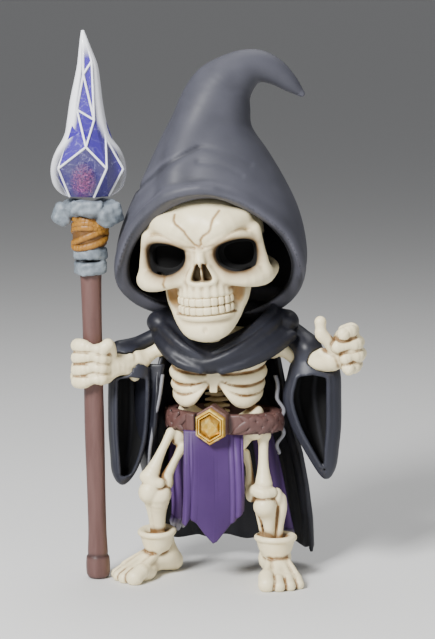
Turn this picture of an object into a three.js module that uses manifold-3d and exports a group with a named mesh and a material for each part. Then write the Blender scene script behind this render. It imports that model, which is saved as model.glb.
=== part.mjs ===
// A hooded skeleton figurine with a crystal-headed staff, as a moulded and assembled vinyl collectible.
// Millimetres, +Z up, the figure faces -Y. Right and left are the figure's own.
import * as THREE from 'three';
import Module from 'manifold-3d';
import { mergeVertices } from 'three/addons/utils/BufferGeometryUtils.js';

const wasm = await Module();
wasm.setup();

// Driving dimensions
const GAP = 0.3; // clearance kept between two pieces that touch
const CENTRE = { x: 0.32, y: -4.56 }; // middle of the figure's footprint box, moved to the origin
const HEAD = { at: [0, -5, 96.4], yaw: -8, roll: -4 }; // middle of the eye line, turned to the staff
const CHEST = { at: [2.9, -2.5, 62], yaw: -8, halfWidth: 13.6, halfDepth: 9.6 };
const BELT = { at: [4.6, -3.2, 47.6], yaw: -16, halfWidth: 17.2, halfDepth: 11.4, height: 6.2, wall: 2.4 };
const HOOD_WALL = 3.8;
const CLOTH = 1.5; // thickness of the moulded cloth
const STAFF = { foot: [-33.3, -9, 0], top: [-35.2, -9, 114], radius: 3.0 };
const FINGER = 1.75;
const THIN = 0.11; // corners that shape a surface by less than this are left out

const COLOURS = {
  bone: [0xe9e2cf, 0.5, 0], robe: [0x1b1c22, 0.42, 0], purple: [0x5b4a80, 0.5, 0], leather: [0x5d4642, 0.6, 0],
  gold: [0xc9a93a, 0.35, 0.6], wood: [0x73544f, 0.55, 0], stone: [0x8e979d, 0.55, 0], wrap: [0xa86f1c, 0.55, 0],
  crystal: [0x8f86e0, 0.15, 0],
};

// Small vector and frame helpers
const V = (x, y, z) => new THREE.Vector3(x, y, z);
const rad = THREE.MathUtils.degToRad;
const lerp = THREE.MathUtils.lerp;

/** Value at t (0 to 1) along a list of evenly spaced values, smoothly joined. */
function along(values, t) {
  const place = Math.min(Math.max(t, 0), 1) * (values.length - 1);
  const i = Math.min(Math.floor(place), values.length - 2);
  const f = place - i;
  const [a, b, c, d] = [i - 1, i, i + 1, i + 2].map((k) => values[Math.min(Math.max(k, 0), values.length - 1)]);
  return 0.5 * (2 * b + (c - a) * f + (2 * a - 5 * b + 4 * c - d) * f * f + (3 * b - a - 3 * c + d) * f ** 3);
}

/** A place, yaw about Z and roll about Y, as one matrix. */
function frameOf({ at, yaw = 0, roll = 0 }) {
  const turn = new THREE.Matrix4().makeRotationZ(rad(yaw));
  return new THREE.Matrix4().makeTranslation(...at).multiply(turn)
    .multiply(new THREE.Matrix4().makeRotationY(rad(roll)));
}

/** A closed geometry as a solid, turned right side out. */
function solid(geometry) {
  const bare = geometry.clone();
  bare.deleteAttribute('normal');
  bare.deleteAttribute('uv');
  const merged = mergeVertices(bare, 1e-4);
  const mesh = (flip) => {
    const index = Uint32Array.from(merged.index.array);
    if (flip) for (let i = 0; i < index.length; i += 3) [index[i], index[i + 1]] = [index[i + 1], index[i]];
    return new wasm.Mesh({
      numProp: 3, vertProperties: Float32Array.from(merged.attributes.position.array), triVerts: index,
    });
  };
  const p = merged.attributes.position;
  const [a, b, c] = [V(), V(), V()];
  let volume = 0;
  for (let i = 0; i < merged.index.count; i += 3) {
    a.fromBufferAttribute(p, merged.index.getX(i));
    b.fromBufferAttribute(p, merged.index.getX(i + 1));
    c.fromBufferAttribute(p, merged.index.getX(i + 2));
    volume += a.dot(b.cross(c));
  }
  return new wasm.Manifold(mesh(volume < 0));
}

const join = (parts) => parts.reduce((all, part) => all.add(part));
const cut = (piece, tools) => tools.reduce((rest, tool) => rest.subtract(tool), piece);

/** Rings of equal count skinned into a closed body; wrap joins the last ring to the first. */
function loft(rings, wrap = false) {
  const n = rings[0].length;
  const points = rings.flat();
  const index = [];
  const rows = wrap ? rings.length : rings.length - 1;
  for (let r = 0; r < rows; r++) {
    const [lo, hi] = [r * n, ((r + 1) % rings.length) * n];
    for (let i = 0; i < n; i++) {
      const j = (i + 1) % n;
      index.push(lo + i, lo + j, hi + j, lo + i, hi + j, hi + i);
    }
  }
  if (!wrap) {
    for (const [start, turn] of [[0, 1], [(rings.length - 1) * n, 0]]) {
      const middle = points.slice(start, start + n).reduce((s, q) => s.add(q), V(0, 0, 0)).divideScalar(n);
      points.push(middle);
      for (let i = 0; i < n; i++) {
        const [p, q] = [start + i, start + ((i + 1) % n)];
        index.push(points.length - 1, turn ? q : p, turn ? p : q);
      }
    }
  }
  const geometry = new THREE.BufferGeometry().setFromPoints(points);
  geometry.setIndex(index);
  return solid(geometry);
}

/** A round-ended bone or finger along a smooth line. A radius may be a pair: across and upward. */
function bone(line, radii, { sides = 6, steps = 4, up = null, grow = 0 } = {}) {
  const curve = new THREE.CatmullRomCurve3(line.map((p) => V(...p)));
  const run = V(...line.at(-1)).sub(V(...line[0]));
  const above = up ? V(...up) : Math.abs(run.z) > 0.8 * run.length() ? V(0, 1, 0) : V(0, 0, 1);
  const pair = (k, i) => (Array.isArray(k) ? k[i] : k) + grow;
  const across = radii.map((k) => pair(k, 0));
  const upward = radii.map((k) => pair(k, 1));
  const rings = [];
  const ring = (t, shift, shrink) => {
    const ahead = curve.getTangent(t);
    const side = V().crossVectors(ahead, above).normalize();
    const high = V().crossVectors(side, ahead);
    const middle = curve.getPoint(t).addScaledVector(ahead, shift);
    const [a, b] = [along(across, t) * shrink, along(upward, t) * shrink];
    rings.push(Array.from({ length: sides }, (_, i) => {
      const turn = (2 * Math.PI * (i + 0.5)) / sides;
      return middle.clone().addScaledVector(side, a * Math.cos(turn)).addScaledVector(high, b * Math.sin(turn));
    }));
  };
  const [first, last] = [Math.min(across[0], upward[0]), Math.min(across.at(-1), upward.at(-1))];
  ring(0, -0.85 * first, 0.45);
  for (let i = 0; i <= steps; i++) ring(i / steps, 0, 1);
  ring(1, 0.85 * last, 0.45);
  return loft(rings);
}

/** An egg shape: centre, three radii and turns about X, Y and Z in degrees. */
function egg(at, radii, { turn = [0, 0, 0], wide = 8, high = 5, grow = 0 } = {}) {
  const geometry = new THREE.SphereGeometry(1, wide, high);
  geometry.rotateX(Math.PI / 2);
  geometry.scale(...radii.map((r) => r + grow));
  geometry.applyMatrix4(new THREE.Matrix4().makeRotationFromEuler(new THREE.Euler(...turn.map(rad))));
  geometry.translate(...at);
  return solid(geometry);
}

/** A flat-faced block with its centre, size and turns. */
function block(at, size, turn = [0, 0, 0]) {
  const geometry = new THREE.BoxGeometry(...size);
  geometry.applyMatrix4(new THREE.Matrix4().makeRotationFromEuler(new THREE.Euler(...turn.map(rad))));
  geometry.translate(...at);
  return solid(geometry);
}

/** A sheet of even thickness on a surface place(u, v), u and v from 0 to 1. */
function sheet(place, across, down, thickness) {
  const at = (i, j) => place(i / across, j / down);
  const normal = (i, j) => {
    const [u, v, e] = [i / across, j / down, 1e-3];
    const du = place(Math.min(u + e, 1), v).sub(place(Math.max(u - e, 0), v));
    const dv = place(u, Math.min(v + e, 1)).sub(place(u, Math.max(v - e, 0)));
    return du.cross(dv).normalize();
  };
  const rings = [];
  for (let j = 0; j <= down; j++) {
    const front = [];
    const back = [];
    for (let i = 0; i <= across; i++) {
      const n = normal(i, j);
      front.push(at(i, j).addScaledVector(n, thickness / 2));
      back.unshift(at(i, j).addScaledVector(n, -thickness / 2));
    }
    rings.push([...front, ...back]);
  }
  return stripLoft(rings, across + 1);
}

/** Skins rings whose two halves face each other, and closes both ends with strips. */
function stripLoft(rings, half) {
  const n = rings[0].length;
  const points = rings.flat();
  const index = [];
  for (let r = 0; r + 1 < rings.length; r++) {
    for (let i = 0; i < n; i++) {
      const [a, b, c, d] = [r * n + i, r * n + ((i + 1) % n), (r + 1) * n + ((i + 1) % n), (r + 1) * n + i];
      index.push(a, b, c, a, c, d);
    }
  }
  for (const [start, turn] of [[0, true], [(rings.length - 1) * n, false]]) {
    for (let i = 0; i + 1 < half; i++) {
      const [a, b, c, d] = [start + i, start + i + 1, start + n - 2 - i, start + n - 1 - i];
      index.push(...(turn ? [a, c, b, a, d, c] : [a, b, c, a, c, d]));
    }
  }
  const geometry = new THREE.BufferGeometry().setFromPoints(points);
  geometry.setIndex(index);
  return solid(geometry);
}

/** A flat outline given thickness along Y, from its front face at depth y. */
function plate(outline, y, thickness) {
  const shape = new THREE.Shape(outline.map(([x, z]) => new THREE.Vector2(x, z)));
  const geometry = new THREE.ExtrudeGeometry(shape, { depth: thickness, bevelEnabled: false });
  geometry.rotateX(Math.PI / 2);
  geometry.translate(0, y + thickness, 0);
  return solid(geometry);
}

const placed = (piece, frame) => piece.transform(frameOf(frame).toArray());
const mirrored = (make) => [make(-1), make(1)];

// The skull, in the head's own frame: eyes at height 0, face towards -Y
const SKULL = {
  cranium: { at: [0, 2, 5.8], radii: [18.6, 18, 17.4] },
  eye: { at: [10.5, -17.8, 1.3], radii: [5.8, 9, 4.5], tilt: 14 },
  nose: { at: [1.55, -18.4, -2.8], radii: [1.5, 3.6, 2.8] },
  teeth: { rows: [-11.1, -13.7], perRow: 7, reach: 8.9, front: -20.6, depth: 10, tall: 2.4 },
  face: [
    // height, half width, depth of the front, depth of the back, squareness
    [-22.1, 4.2, -16.6, -10.5, 0.9], [-20.4, 6.8, -18.4, -8, 0.9], [-16.4, 9.0, -18.8, -5, 0.9],
    [-12.2, 9.6, -19.0, -4, 0.8], [-8.8, 10.8, -18.8, -3, 0.8], [-7.2, 15.0, -17.6, -2, 0.85],
    [-4.2, 18.6, -17.0, 0, 0.9], [0.8, 18.4, -16.6, 0, 0.8], [6.0, 18.4, -17.8, 0, 0.75], [11.5, 16.4, -15.8, 0, 0.9],
  ],
};

const cranium = (g = 0) => egg(SKULL.cranium.at, SKULL.cranium.radii, { wide: 14, high: 8, grow: g });

/** The face from the chin to the forehead: level rings, squared off in front. */
function face(g) {
  const sides = 14;
  return loft(SKULL.face.map(([z, half, front, back, square]) => Array.from({ length: sides }, (_, i) => {
    const turn = (2 * Math.PI * (i + 0.5)) / sides;
    const [c, s] = [Math.cos(turn), Math.sin(turn)];
    const [a, b] = [half + g, (back - front) / 2 + g];
    const [across, ahead] = [c, s].map((k) => Math.sign(k) * Math.abs(k) ** square);
    return V(a * across, (front + back) / 2 + b * ahead, z);
  })));
}

/** One row of teeth: a band bent round the jaw, with a notch between each pair. */
function toothRow(height, g) {
  const { perRow, reach, front, depth, tall } = SKULL.teeth;
  const edge = Array.from({ length: perRow * 3 + 1 }, (_, i) => {
    const turn = rad(lerp(-80, 80, i / (perRow * 3)));
    const out = i % 3 === 0 ? -0.9 : 0;
    return [(reach + out + g) * Math.sin(turn), front + depth - (depth + out + g) * Math.cos(turn)];
  });
  const shape = new THREE.Shape([...edge, [reach - 2, front + depth], [2 - reach, front + depth]]
    .map(([x, y]) => new THREE.Vector2(x, y)));
  const geometry = new THREE.ExtrudeGeometry(shape, { depth: tall + 2 * g, bevelEnabled: false });
  geometry.translate(0, 0, height - tall / 2 - g);
  return solid(geometry);
}

function skull(g = 0) {
  const { eye, nose, teeth } = SKULL;
  const shape = join([
    cranium(g), face(g),
    bone([[0, -17.4, 6.0], [0, -18.4, 0.6]], [2.6, 1.9], { steps: 1, grow: g }),
    ...mirrored((s) => bone([[s * 2.2, -17.2, 5.2], [s * 9.5, -16.6, 7.8], [s * 16.2, -12.4, 9.0]],
      [2.8, 3.3, 3.0], { steps: 2, grow: g })),
    ...mirrored((s) => bone([[s * 6.4, -17.6, -5.4], [s * 14.4, -15.0, -4.8], [s * 19.0, -8, -4.2],
      [s * 18.0, -1, -2.8]], [1.8, 3.0, 2.6, 2.0], { grow: g })),
    ...mirrored((s) => bone([[s * 12.6, -3, -4.4], [s * 9.6, -6.4, -12], [s * 6.0, -13.2, -18.2]], [1.8, 2.0, 2.4],
      { steps: 2, grow: g })),
    ...teeth.rows.flatMap((z) => toothRow(z, g)),
  ]);
  if (g) return shape;
  return cut(shape, [
    ...mirrored((s) => egg([s * eye.at[0], eye.at[1], eye.at[2]], eye.radii,
      { turn: [0, -s * eye.tilt, s * 10], wide: 10, high: 6 })),
    ...mirrored((s) => egg([s * nose.at[0], nose.at[1], nose.at[2]], nose.radii,
      { turn: [0, -s * 14, 0], wide: 6, high: 4 })),
    ...mirrored((s) => egg([s * 10.8, -13.4, -10.2], [2.0, 5.4, 2.7], { wide: 6, high: 4 })),
  ]);
}

// The hood: round rings along a spine that rises from the neck and curls over to its tip
const HOOD = [
  // middle X, Y, Z, half width, half depth, lean of the ring about Y in degrees
  [2.0, 3.0, 79.6, 15.0, 10.0, 0],
  [0.9, 0.4, 82.6, 21.2, 16.4, 0],
  [0.3, -2.6, 88.0, 26.6, 20.8, 0],
  [0.7, -4.6, 95.0, 28.4, 22.8, 0],
  [1.0, -5.4, 103.0, 27.6, 22.9, 0],
  [1.4, -5.0, 111.4, 25.2, 22.2, 0],
  [1.6, -4.0, 119.4, 21.4, 20.0, 0],
  [0.7, -2.6, 127.6, 17.2, 16.6, 2],
  [-0.4, -2.0, 134.6, 13.6, 13.2, 6],
  [0.4, -2.0, 141.2, 11.4, 11.0, 14],
  [2.6, -2.0, 146.8, 9.7, 9.6, 32],
  [6.2, -2.0, 150.8, 7.8, 7.8, 52],
  [10.6, -2.0, 153.0, 6.0, 6.2, 76],
  [15.2, -2.0, 153.2, 4.7, 5.0, 100],
  [19.6, -2.0, 151.2, 3.7, 3.9, 122],
  [23.8, -2.0, 148.0, 2.4, 2.6, 130],
  [27.6, -2.0, 144.8, 0.9, 1.0, 130],
];
const OPENING = [
  // outline of the face opening seen from the front
  [1, 116.0], [-9, 115.0], [-16.4, 111.4], [-22.0, 104.2], [-25.4, 97], [-32, 90], [-32, 70], [34, 70], [34, 90],
  [26.4, 97], [22.6, 103.4], [15.6, 110.0], [8.6, 114.2],
];

function hoodRings(rows, wall, sides) {
  return rows.map(([x, y, z, a, b, lean]) => {
    const [s, c] = [Math.sin(rad(lean)), Math.cos(rad(lean))];
    return Array.from({ length: sides }, (_, i) => {
      const turn = (2 * Math.PI * i) / sides;
      const [p, q] = [(a - wall) * Math.cos(turn), (b - wall) * Math.sin(turn)];
      return V(x + p * c, y + q, z - p * s);
    });
  });
}

function hood() {
  const outer = loft(hoodRings(HOOD, 0, 16));
  const core = HOOD.slice(0, 7).map((row) => [...row]);
  core[0][2] -= 3;
  core[6] = [1.2, -4, 119.0, 16.6, 15.6, 0];
  const inner = loft(hoodRings([...core, [1.0, -3.4, 122.6, 9.5, 9.0, 0]], HOOD_WALL, 16));
  const front = plate(OPENING, -60, 58);
  const slope = block([0, -42, 98], [90, 60, 100]).transform(new THREE.Matrix4().makeTranslation(0, -12, 98)
    .multiply(new THREE.Matrix4().makeRotationX(rad(31)))
    .multiply(new THREE.Matrix4().makeTranslation(0, 12, -98)).toArray());
  return cut(outer, [inner, front.intersect(slope)]);
}

// The cowl: a thick closed roll of cloth lying round the neck, lower in front
const COWL = { at: [4.2, -3.4], sides: 8, steps: 22 };

function cowl(g = 0) {
  const { at, sides, steps } = COWL;
  const rings = Array.from({ length: steps }, (_, k) => {
    const turn = (2 * Math.PI * k) / steps; // 0 in front, growing towards the figure's left
    const [s, c] = [Math.sin(turn), Math.cos(turn)];
    const front = Math.max(c, 0) ** 1.6;
    const flank = Math.abs(s) ** 3;
    const mid = V(at[0] + (18.0 + 0.8 * s) * s, at[1] - (c > 0 ? 10.6 : 10.4) * c, 74.4 - 6.6 * front - 1.2 * s);
    const out = V(s, -c, 0);
    const [thick, tall] = [3.6 + 0.8 * flank + g, 4.6 + 1.5 * front + g];
    const lean = rad(12 + 16 * front);
    return Array.from({ length: sides }, (_, i) => {
      const a = (2 * Math.PI * i) / sides;
      const fold = 1 + 0.1 * Math.cos(3 * a + 2.2 * Math.sin(turn));
      const [p, q] = [thick * fold * Math.cos(a), tall * fold * Math.sin(a)];
      return mid.clone().addScaledVector(out, p * Math.cos(lean) - q * Math.sin(lean))
        .add(V(0, 0, p * Math.sin(lean) + q * Math.cos(lean)));
    });
  });
  return loft(rings, true);
}

// The trunk: a ribbed chest, spine, shoulder girdle and pelvis
const CHEST_ROWS = [
  // height, share of the full girth, drop of the row at the flanks
  [-9.5, 0.42, 0], [-7.4, 0.86, 3.2], [-4.6, 0.94, 3.0], [-3.7, 0.87, 2.6], [-1.6, 1.0, 2.4], [0.2, 0.96, 2.2],
  [1.0, 0.88, 2.0], [2.8, 0.98, 1.8], [4.2, 0.93, 1.6], [5.0, 0.84, 1.4], [7.2, 0.9, 1.2], [9.6, 0.72, 0.6],
  [9.9, 0.3, 0.3],
];

/** The chest: level rows swelling at each rib and drawn in at each groove, hollowed below the breastbone. */
function chest(g) {
  const sides = 14;
  const { halfWidth, halfDepth } = CHEST;
  const barrel = loft(CHEST_ROWS.map(([z, share, drop]) => Array.from({ length: sides }, (_, i) => {
    const turn = (2 * Math.PI * i) / sides;
    const [s, c] = [Math.sin(turn), Math.cos(turn)];
    const slope = drop * Math.abs(s) ** 1.5 * (c > 0 ? 1 : 0.3);
    return V((halfWidth * share + g) * s, -(halfDepth * share + g) * c, z + 2 - slope + (z > 9 ? g : 0));
  })));
  const arch = egg([0, -7.6, -8.6], [5.6 - g, 8.2 - g, 8.4 - g], { wide: 8, high: 6 });
  const inside = egg([0, 0, -8.8], [9.4 - g, 6.4 - g, 6.6 - g]);
  const breastbone = bone([[0, -9.0, 10.6], [0, -9.9, 2], [0, -9.9, -3.6]], [[2.0, 1.4], [2.1, 1.3], [1.3, 1.1]],
    { steps: 2, grow: g });
  return placed(cut(barrel, [arch, inside]).add(breastbone), CHEST);
}

function spine(g) {
  const discs = 8;
  const profile = [new THREE.Vector2(0, 40), new THREE.Vector2(2.0 + g, 40)];
  for (let i = 0; i < discs; i++) {
    const z = lerp(41, 83, i / discs);
    const step = 42 / discs;
    profile.push(new THREE.Vector2(2.5 + g, z + 0.25 * step), new THREE.Vector2(1.8 + g, z + 0.85 * step));
  }
  profile.push(new THREE.Vector2(1.8 + g, 83.4), new THREE.Vector2(0, 83.4));
  const geometry = new THREE.LatheGeometry(profile, 6);
  geometry.rotateX(Math.PI / 2);
  geometry.translate(2.6, 1.2, 0);
  return solid(geometry);
}

function pelvis(g) {
  const opts = { grow: g };
  return placed(join([
    bone([[-10, -3.5, 3.4], [-5, -1, -0.5], [0, 1.5, -2.4], [5, -1, -0.5], [10, -3.5, 3.4]],
      [[3.2, 2.6], [3.4, 3.6], [3.4, 3.2], [3.4, 3.6], [3.2, 2.6]], { steps: 6, ...opts }),
    ...mirrored((s) => bone([[s * 8.6, -3.6, 1], [s * 7.8, -4.4, -4], [s * 4.2, -4.4, -8.2], [s * 0.6, -4, -7.6]],
      [2.4, 2.2, 1.9, 1.5], { ...opts })),
  ]), { at: [BELT.at[0], BELT.at[1] + 1, BELT.at[2] - 1], yaw: BELT.yaw });
}

function torso(g = 0) {
  const girdle = bone([[-10.6, -1, 68.6], [-4, -3.4, 71.2], [2.6, 0.4, 71.6], [10, -3.4, 71.2], [18.4, -1, 68.6]],
    [2.4, 1.8, 2.6, 1.8, 2.4], { grow: g });
  return join([chest(g), girdle, spine(g), pelvis(g)]);
}

// The legs: two thigh bones, a knee, a ribbed shin, an ankle cuff and a bare foot
const LEGS = {
  right: {
    outer: [[-12.4, -6.6, 43.6], [-15.2, -8.6, 38], [-17.6, -10.4, 32.2]],
    inner: [[-7.6, -6.0, 38.4], [-10.8, -7.8, 33.6], [-13.2, -9.4, 29.4]],
    knee: [[-17.2, -10.8, 30.4, 3.6], [-17.6, -11.2, 26.0, 3.3], [-13.6, -10.0, 27.4, 3.0]],
    shin: [[-15.4, -9.2, 24], [-15.3, -7.4, 18], [-15.2, -5.4, 10.6]],
    splint: [[-17.4, -9.6, 24], [-17.0, -8.2, 18], [-16.6, -6.4, 11.5]],
    cuff: { at: [-15.4, -5.0, 10.4], radius: 5.3, yaw: -40, tilt: 12 },
    foot: { at: [-15.4, -4.0, 0], yaw: -44 },
  },
  left: {
    outer: [[16.0, -8.4, 43.2], [16.0, -10.2, 37.6], [16.3, -11.8, 31.2]],
    inner: [[10.8, -7.4, 37.2], [11.8, -8.6, 32.6], [12.4, -10.2, 27.0]],
    knee: [[16.2, -12.4, 28.6, 3.8], [16.8, -13.2, 24.4, 3.5], [12.6, -11.0, 26.8, 2.3]],
    shin: [[17.0, -12.0, 24], [17.8, -11.6, 18], [18.8, -11.2, 10.8]],
    splint: [[20.6, -10.8, 24], [21.0, -10.8, 18], [20.9, -10.8, 11.4]],
    cuff: { at: [19.9, -11.2, 9.6], radius: 5.8, yaw: 4, tilt: 0 },
    foot: { at: [20.0, -10.6, 0], yaw: 6 },
  },
};
const FOOT = {
  toes: [[-4.6, -14.8, 2.5], [-1.0, -15.8, 2.0], [2.7, -14.6, 1.85], [5.7, -12.4, 1.8]],
  heel: [0, 7.2, 3.2],
};

/** A bare foot in its own frame: heel behind, toes towards -Y, big toe on the inner side, sole on Z 0. */
function foot(s, g) {
  const { toes } = FOOT;
  const body = [
    bone([[0, 6.6, 2.7], [0, 1, 4.2], [s * 0.4, -8.4, 2.4]], [[3.3, 3.4], [3.7, 4.8], [6.0, 3.0]],
      { sides: 8, steps: 2, up: [0, 0, 1], grow: g }),
    bone([[0, 4.4, 5.6], [0, 1.4, 9.6]], [[3.7, 3.6], [3.9, 3.8]], { sides: 8, steps: 1, up: [0, 1, 0], grow: g }),
  ];
  const rows = toes.map(([x, y, r]) => bone([[s * x * 0.85, -8.6, r + 0.3],
    [s * x, y + 0.9, r * 0.72]], [r * 0.9, r], { steps: 1, up: [0, 0, 1], grow: g }));
  const ground = block([0, 0, -10 - g], [60, 60, 20]);
  return cut(join([...body, ...rows]), [ground]);
}

/** The turned-down collar of bone round an ankle. */
function cuff({ at, radius, yaw, tilt }, g) {
  const sides = 10;
  const rows = [[0.76, -0.5], [1.0, 3.0], [0.96, 3.8], [0.6, 3.0]];
  const rings = rows.map(([k, z]) => Array.from({ length: sides }, (_, i) => {
    const turn = (2 * Math.PI * i) / sides;
    const dip = z < 0 ? 1.7 * Math.abs(Math.cos(turn)) ** 2 - 0.4 : 0.35 * Math.cos(2 * turn);
    return V((radius * k + g) * Math.cos(turn), (radius * 0.92 * k + g) * Math.sin(turn), z + 0.2 * g - dip);
  }));
  return placed(loft(rings).rotate([tilt, 0, 0]), { at, yaw });
}

function leg(side, g = 0) {
  const one = LEGS[side];
  const s = side === 'right' ? -1 : 1;
  return join([
    bone(one.outer, [2.0, 1.3, 2.6], { steps: 2, grow: g }),
    bone(one.inner, [1.6, 1.1, 1.7], { sides: 5, steps: 2, grow: g }),
    ...one.knee.map(([x, y, z, r]) => egg([x, y, z], [r, r, r], { grow: g })),
    bone(one.shin, [2.9, 1.9, 2.3], { steps: 2, grow: g }),
    bone(one.splint, [1.6, 1.1, 1.5], { sides: 5, steps: 1, grow: g }),
    cuff(one.cuff, g),
    placed(foot(s, g), one.foot),
  ]);
}

// The arms: a humerus, a flared forearm and a fist
const ARMS = {
  right: {
    upper: [[-13.4, -0.6, 68.2], [-17, -0.8, 65.8], [-20.2, -1.2, 63.8]],
    fore: [[-21.8, -1.8, 63.6], [-25, -4.2, 64], [-28.6, -6.6, 64.2]],
    foreRadii: [[2.9, 3.0], [2.6, 3.2], [3.6, 4.4]],
  },
  left: {
    upper: [[21.2, -0.6, 68.0], [24.4, -1.4, 66.0], [27.4, -2.6, 64.0]],
    fore: [[28.8, -3.4, 64.0], [32, -6.4, 64.8], [35.4, -9.4, 66.0]],
    foreRadii: [[2.5, 2.7], [3.0, 3.2], [3.7, 4.0]],
  },
};
const GRIP = { at: [-34.4, -9, 65.4], rows: [70.2, 67.0, 63.9, 60.9], reach: STAFF.radius + GAP + FINGER };

/** Four fingers closed round the staff, the palm behind them and the thumb. */
function gripHand(g) {
  const { at, rows, reach } = GRIP;
  const fingers = rows.map((z, row) => {
    const line = Array.from({ length: 6 }, (_, i) => {
      const turn = rad(lerp(105, 395 - row * 6, i / 5));
      return [at[0] - 0.12 * row + reach * Math.sin(turn), at[1] + reach * Math.cos(turn), z];
    });
    return bone(line, [FINGER, FINGER, 1.5, FINGER, 1.45, 1.6], { sides: 5, steps: 5, grow: g });
  });
  return join([
    ...fingers,
    egg([at[0] + 1.2, at[1] + 4.6, at[2] + 0.2], [5.0, 3.0, 6.4], { grow: g }),
    bone([[-29.2, -8.4, 68.6], [-29.6, -11.4, 70.6], [-30.8, -12.6, 68.2]], [1.8, 1.9, 1.6], { steps: 2, grow: g }),
  ]);
}

/** A closed fist with its thumb raised. */
function thumbFist(g) {
  const rows = [75.2, 71.4, 68.0, 65.0];
  const fingers = rows.map((z, row) => bone(
    [[42.6 - row * 0.3, -5.6, z - 0.6], [44.4 - row * 0.3, -9.6, z], [42.6 - row * 0.2, -13.4, z],
      [38.6 + row * 0.9, -14.2, z - 0.3]],
    [1.7, 1.9, 1.9, 1.75].map((r) => r - row * 0.06), { sides: 5, steps: 3, grow: g },
  ));
  return join([
    ...fingers,
    egg([39.6, -9.6, 69.4], [5.0, 4.8, 6.6], { grow: g }),
    bone([[37.4, -11, 69.2], [34.6, -13, 72.6], [32.8, -13.4, 75.4], [32.9, -13.4, 78.0]], [2.0, 1.9, 1.7, 1.8],
      { steps: 3, grow: g }),
  ]);
}

function arm(side, g = 0) {
  const one = ARMS[side];
  return join([
    bone(one.upper, [2.4, 2.6], { steps: 1, grow: g }),
    bone(one.fore, one.foreRadii, { sides: 8, steps: 2, grow: g }),
    side === 'right' ? gripHand(g) : thumbFist(g),
  ]);
}

// The staff
function turned(profile, sides, wobble = null) {
  const geometry = new THREE.LatheGeometry(profile.map(([r, z]) => new THREE.Vector2(r, z)), sides);
  geometry.rotateX(Math.PI / 2);
  const p = geometry.attributes.position;
  const lean = (STAFF.top[0] - STAFF.foot[0]) / STAFF.top[2];
  for (let i = 0; i < p.count; i++) {
    const [x, y, z] = [p.getX(i), p.getY(i), p.getZ(i)];
    const [dx, dy, dz] = wobble ? wobble(x, y, z) : [0, 0, 0];
    p.setXYZ(i, x + dx + STAFF.foot[0] + lean * z, y + dy + STAFF.foot[1], z + dz);
  }
  return solid(geometry);
}

const shaft = (g = 0) => turned([[0, 0], [2.6 + g, 0], [3.5 + g, 1.4], [3.6 + g, 5], [3.0 + g, 9], [2.7 + g, 22],
  [2.95 + g, 44], [2.85 + g, 60], [2.9 + g, 78], [3.2 + g, 91.8], [0, 91.8]], 10);

const ferrule = () => turned([[0, 92.1], [4.3, 92.1], [4.7, 93.4], [4.6, 95.4], [4.2, 96.1], [4.9, 96.9],
  [5.0, 98.8], [4.4, 99.8], [0, 99.8]], 10, (x, y, z) => [0, 0, z > 92.5 && z < 99 ? 0.05 * x : 0]);

const wrapBody = (g = 0) => turned([[0, 100.1], [4.6 + g, 100.1], [5.5 + g, 101.4], [5.2 + g, 103],
  [5.7 + g, 104.4], [5.2 + g, 106], [5.6 + g, 107.4], [5.0 + g, 109.2], [0, 109.2]], 10,
(x, y, z) => [0, 0, z > 101 && z < 108 ? 0.09 * x : 0]);

const ROCKS = [
  // middle, radii and turn of each claw stone under the crystal
  [[-42.8, -9.6, 110.2], [3.0, 3.4, 3.7], [0, 20, 10]],
  [[-29.2, -12.4, 109.8], [4.2, 3.6, 3.6], [10, -20, 30]],
  [[-31.0, -3.6, 110.0], [3.8, 3.2, 3.6], [0, 10, 60]],
  [[-40.2, -3.4, 110.2], [3.4, 3.0, 3.4], [20, 0, 0]],
];

function setting(g = 0) {
  const collar = turned([[0, 109.5], [5.6 + g, 109.5], [6.8 + g, 110.8], [7.2 + g, 112.8], [6.2 + g, 114.4],
    [0, 114.4]], 10, (x, y, z) => [0, 0, z > 110 && z < 114 ? 0.06 * x : 0]);
  return join([collar, ...ROCKS.map(([at, radii, turn]) => egg(at, radii, { turn, wide: 6, high: 4, grow: g }))]);
}

const CRYSTAL = [
  // height, middle X from the staff's line, half width, turn in degrees
  [114.8, 0, 5.4, 0], [116.6, 0.1, 8.8, 0], [121.6, 0.1, 11.5, 0], [127.2, 0.1, 10.3, 25], [133.2, -0.2, 6.5, 25],
  [143.2, -0.4, 4.7, 50], [149.0, -0.1, 3.7, 50], [153.4, 0, 2.9, 50], [157.8, -0.8, 1.8, 60], [160.8, -1.3, 1.1, 60],
  [163.8, -1.6, 0.25, 60],
];

function crystal() {
  const sides = 7;
  return loft(CRYSTAL.map(([z, shift, half, turn]) => Array.from({ length: sides }, (_, i) => {
    const a = rad(turn) + (2 * Math.PI * i) / sides;
    return V(-35.2 + shift + half * Math.cos(a), -9 + half * 0.92 * Math.sin(a), z);
  })));
}

// The sleeves: hanging pouches, open in front, and the cloth over each upper arm
const SLEEVES = {
  right: {
    rows: [ // height, middle X, Y, half width, half depth
      [66.8, -23.4, -2.4, 4.4, 4.0], [63, -23.8, -3.2, 6.1, 5.6], [54, -23.9, -3.6, 6.3, 6.0],
      [44, -24.3, -3.4, 6.0, 5.8], [36, -24.8, -3.8, 4.9, 5.0], [31, -25.6, -4.4, 3.4, 3.8],
      [28, -26.1, -5, 1.2, 1.6],
    ],
    shoulder: [[-11.5, 1.6, 71.0], [-16, 1.4, 69], [-22, 0.4, 66.6]],
  },
  left: {
    rows: [
      [67.4, 31.0, -4.6, 4.6, 4.2], [63, 31.6, -5.4, 7.4, 6.2], [54, 31.0, -5.8, 8.6, 6.4],
      [46, 32.2, -6.2, 7.4, 6.0], [39, 33.6, -7.0, 5.2, 5.0], [34, 34.7, -7.6, 3.4, 3.8], [30.4, 35.2, -8, 1.3, 1.6],
    ],
    shoulder: [[19.4, 0.8, 71.6], [24.4, -0.2, 69.0], [29.4, -2.2, 65.8]],
  },
};

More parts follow.
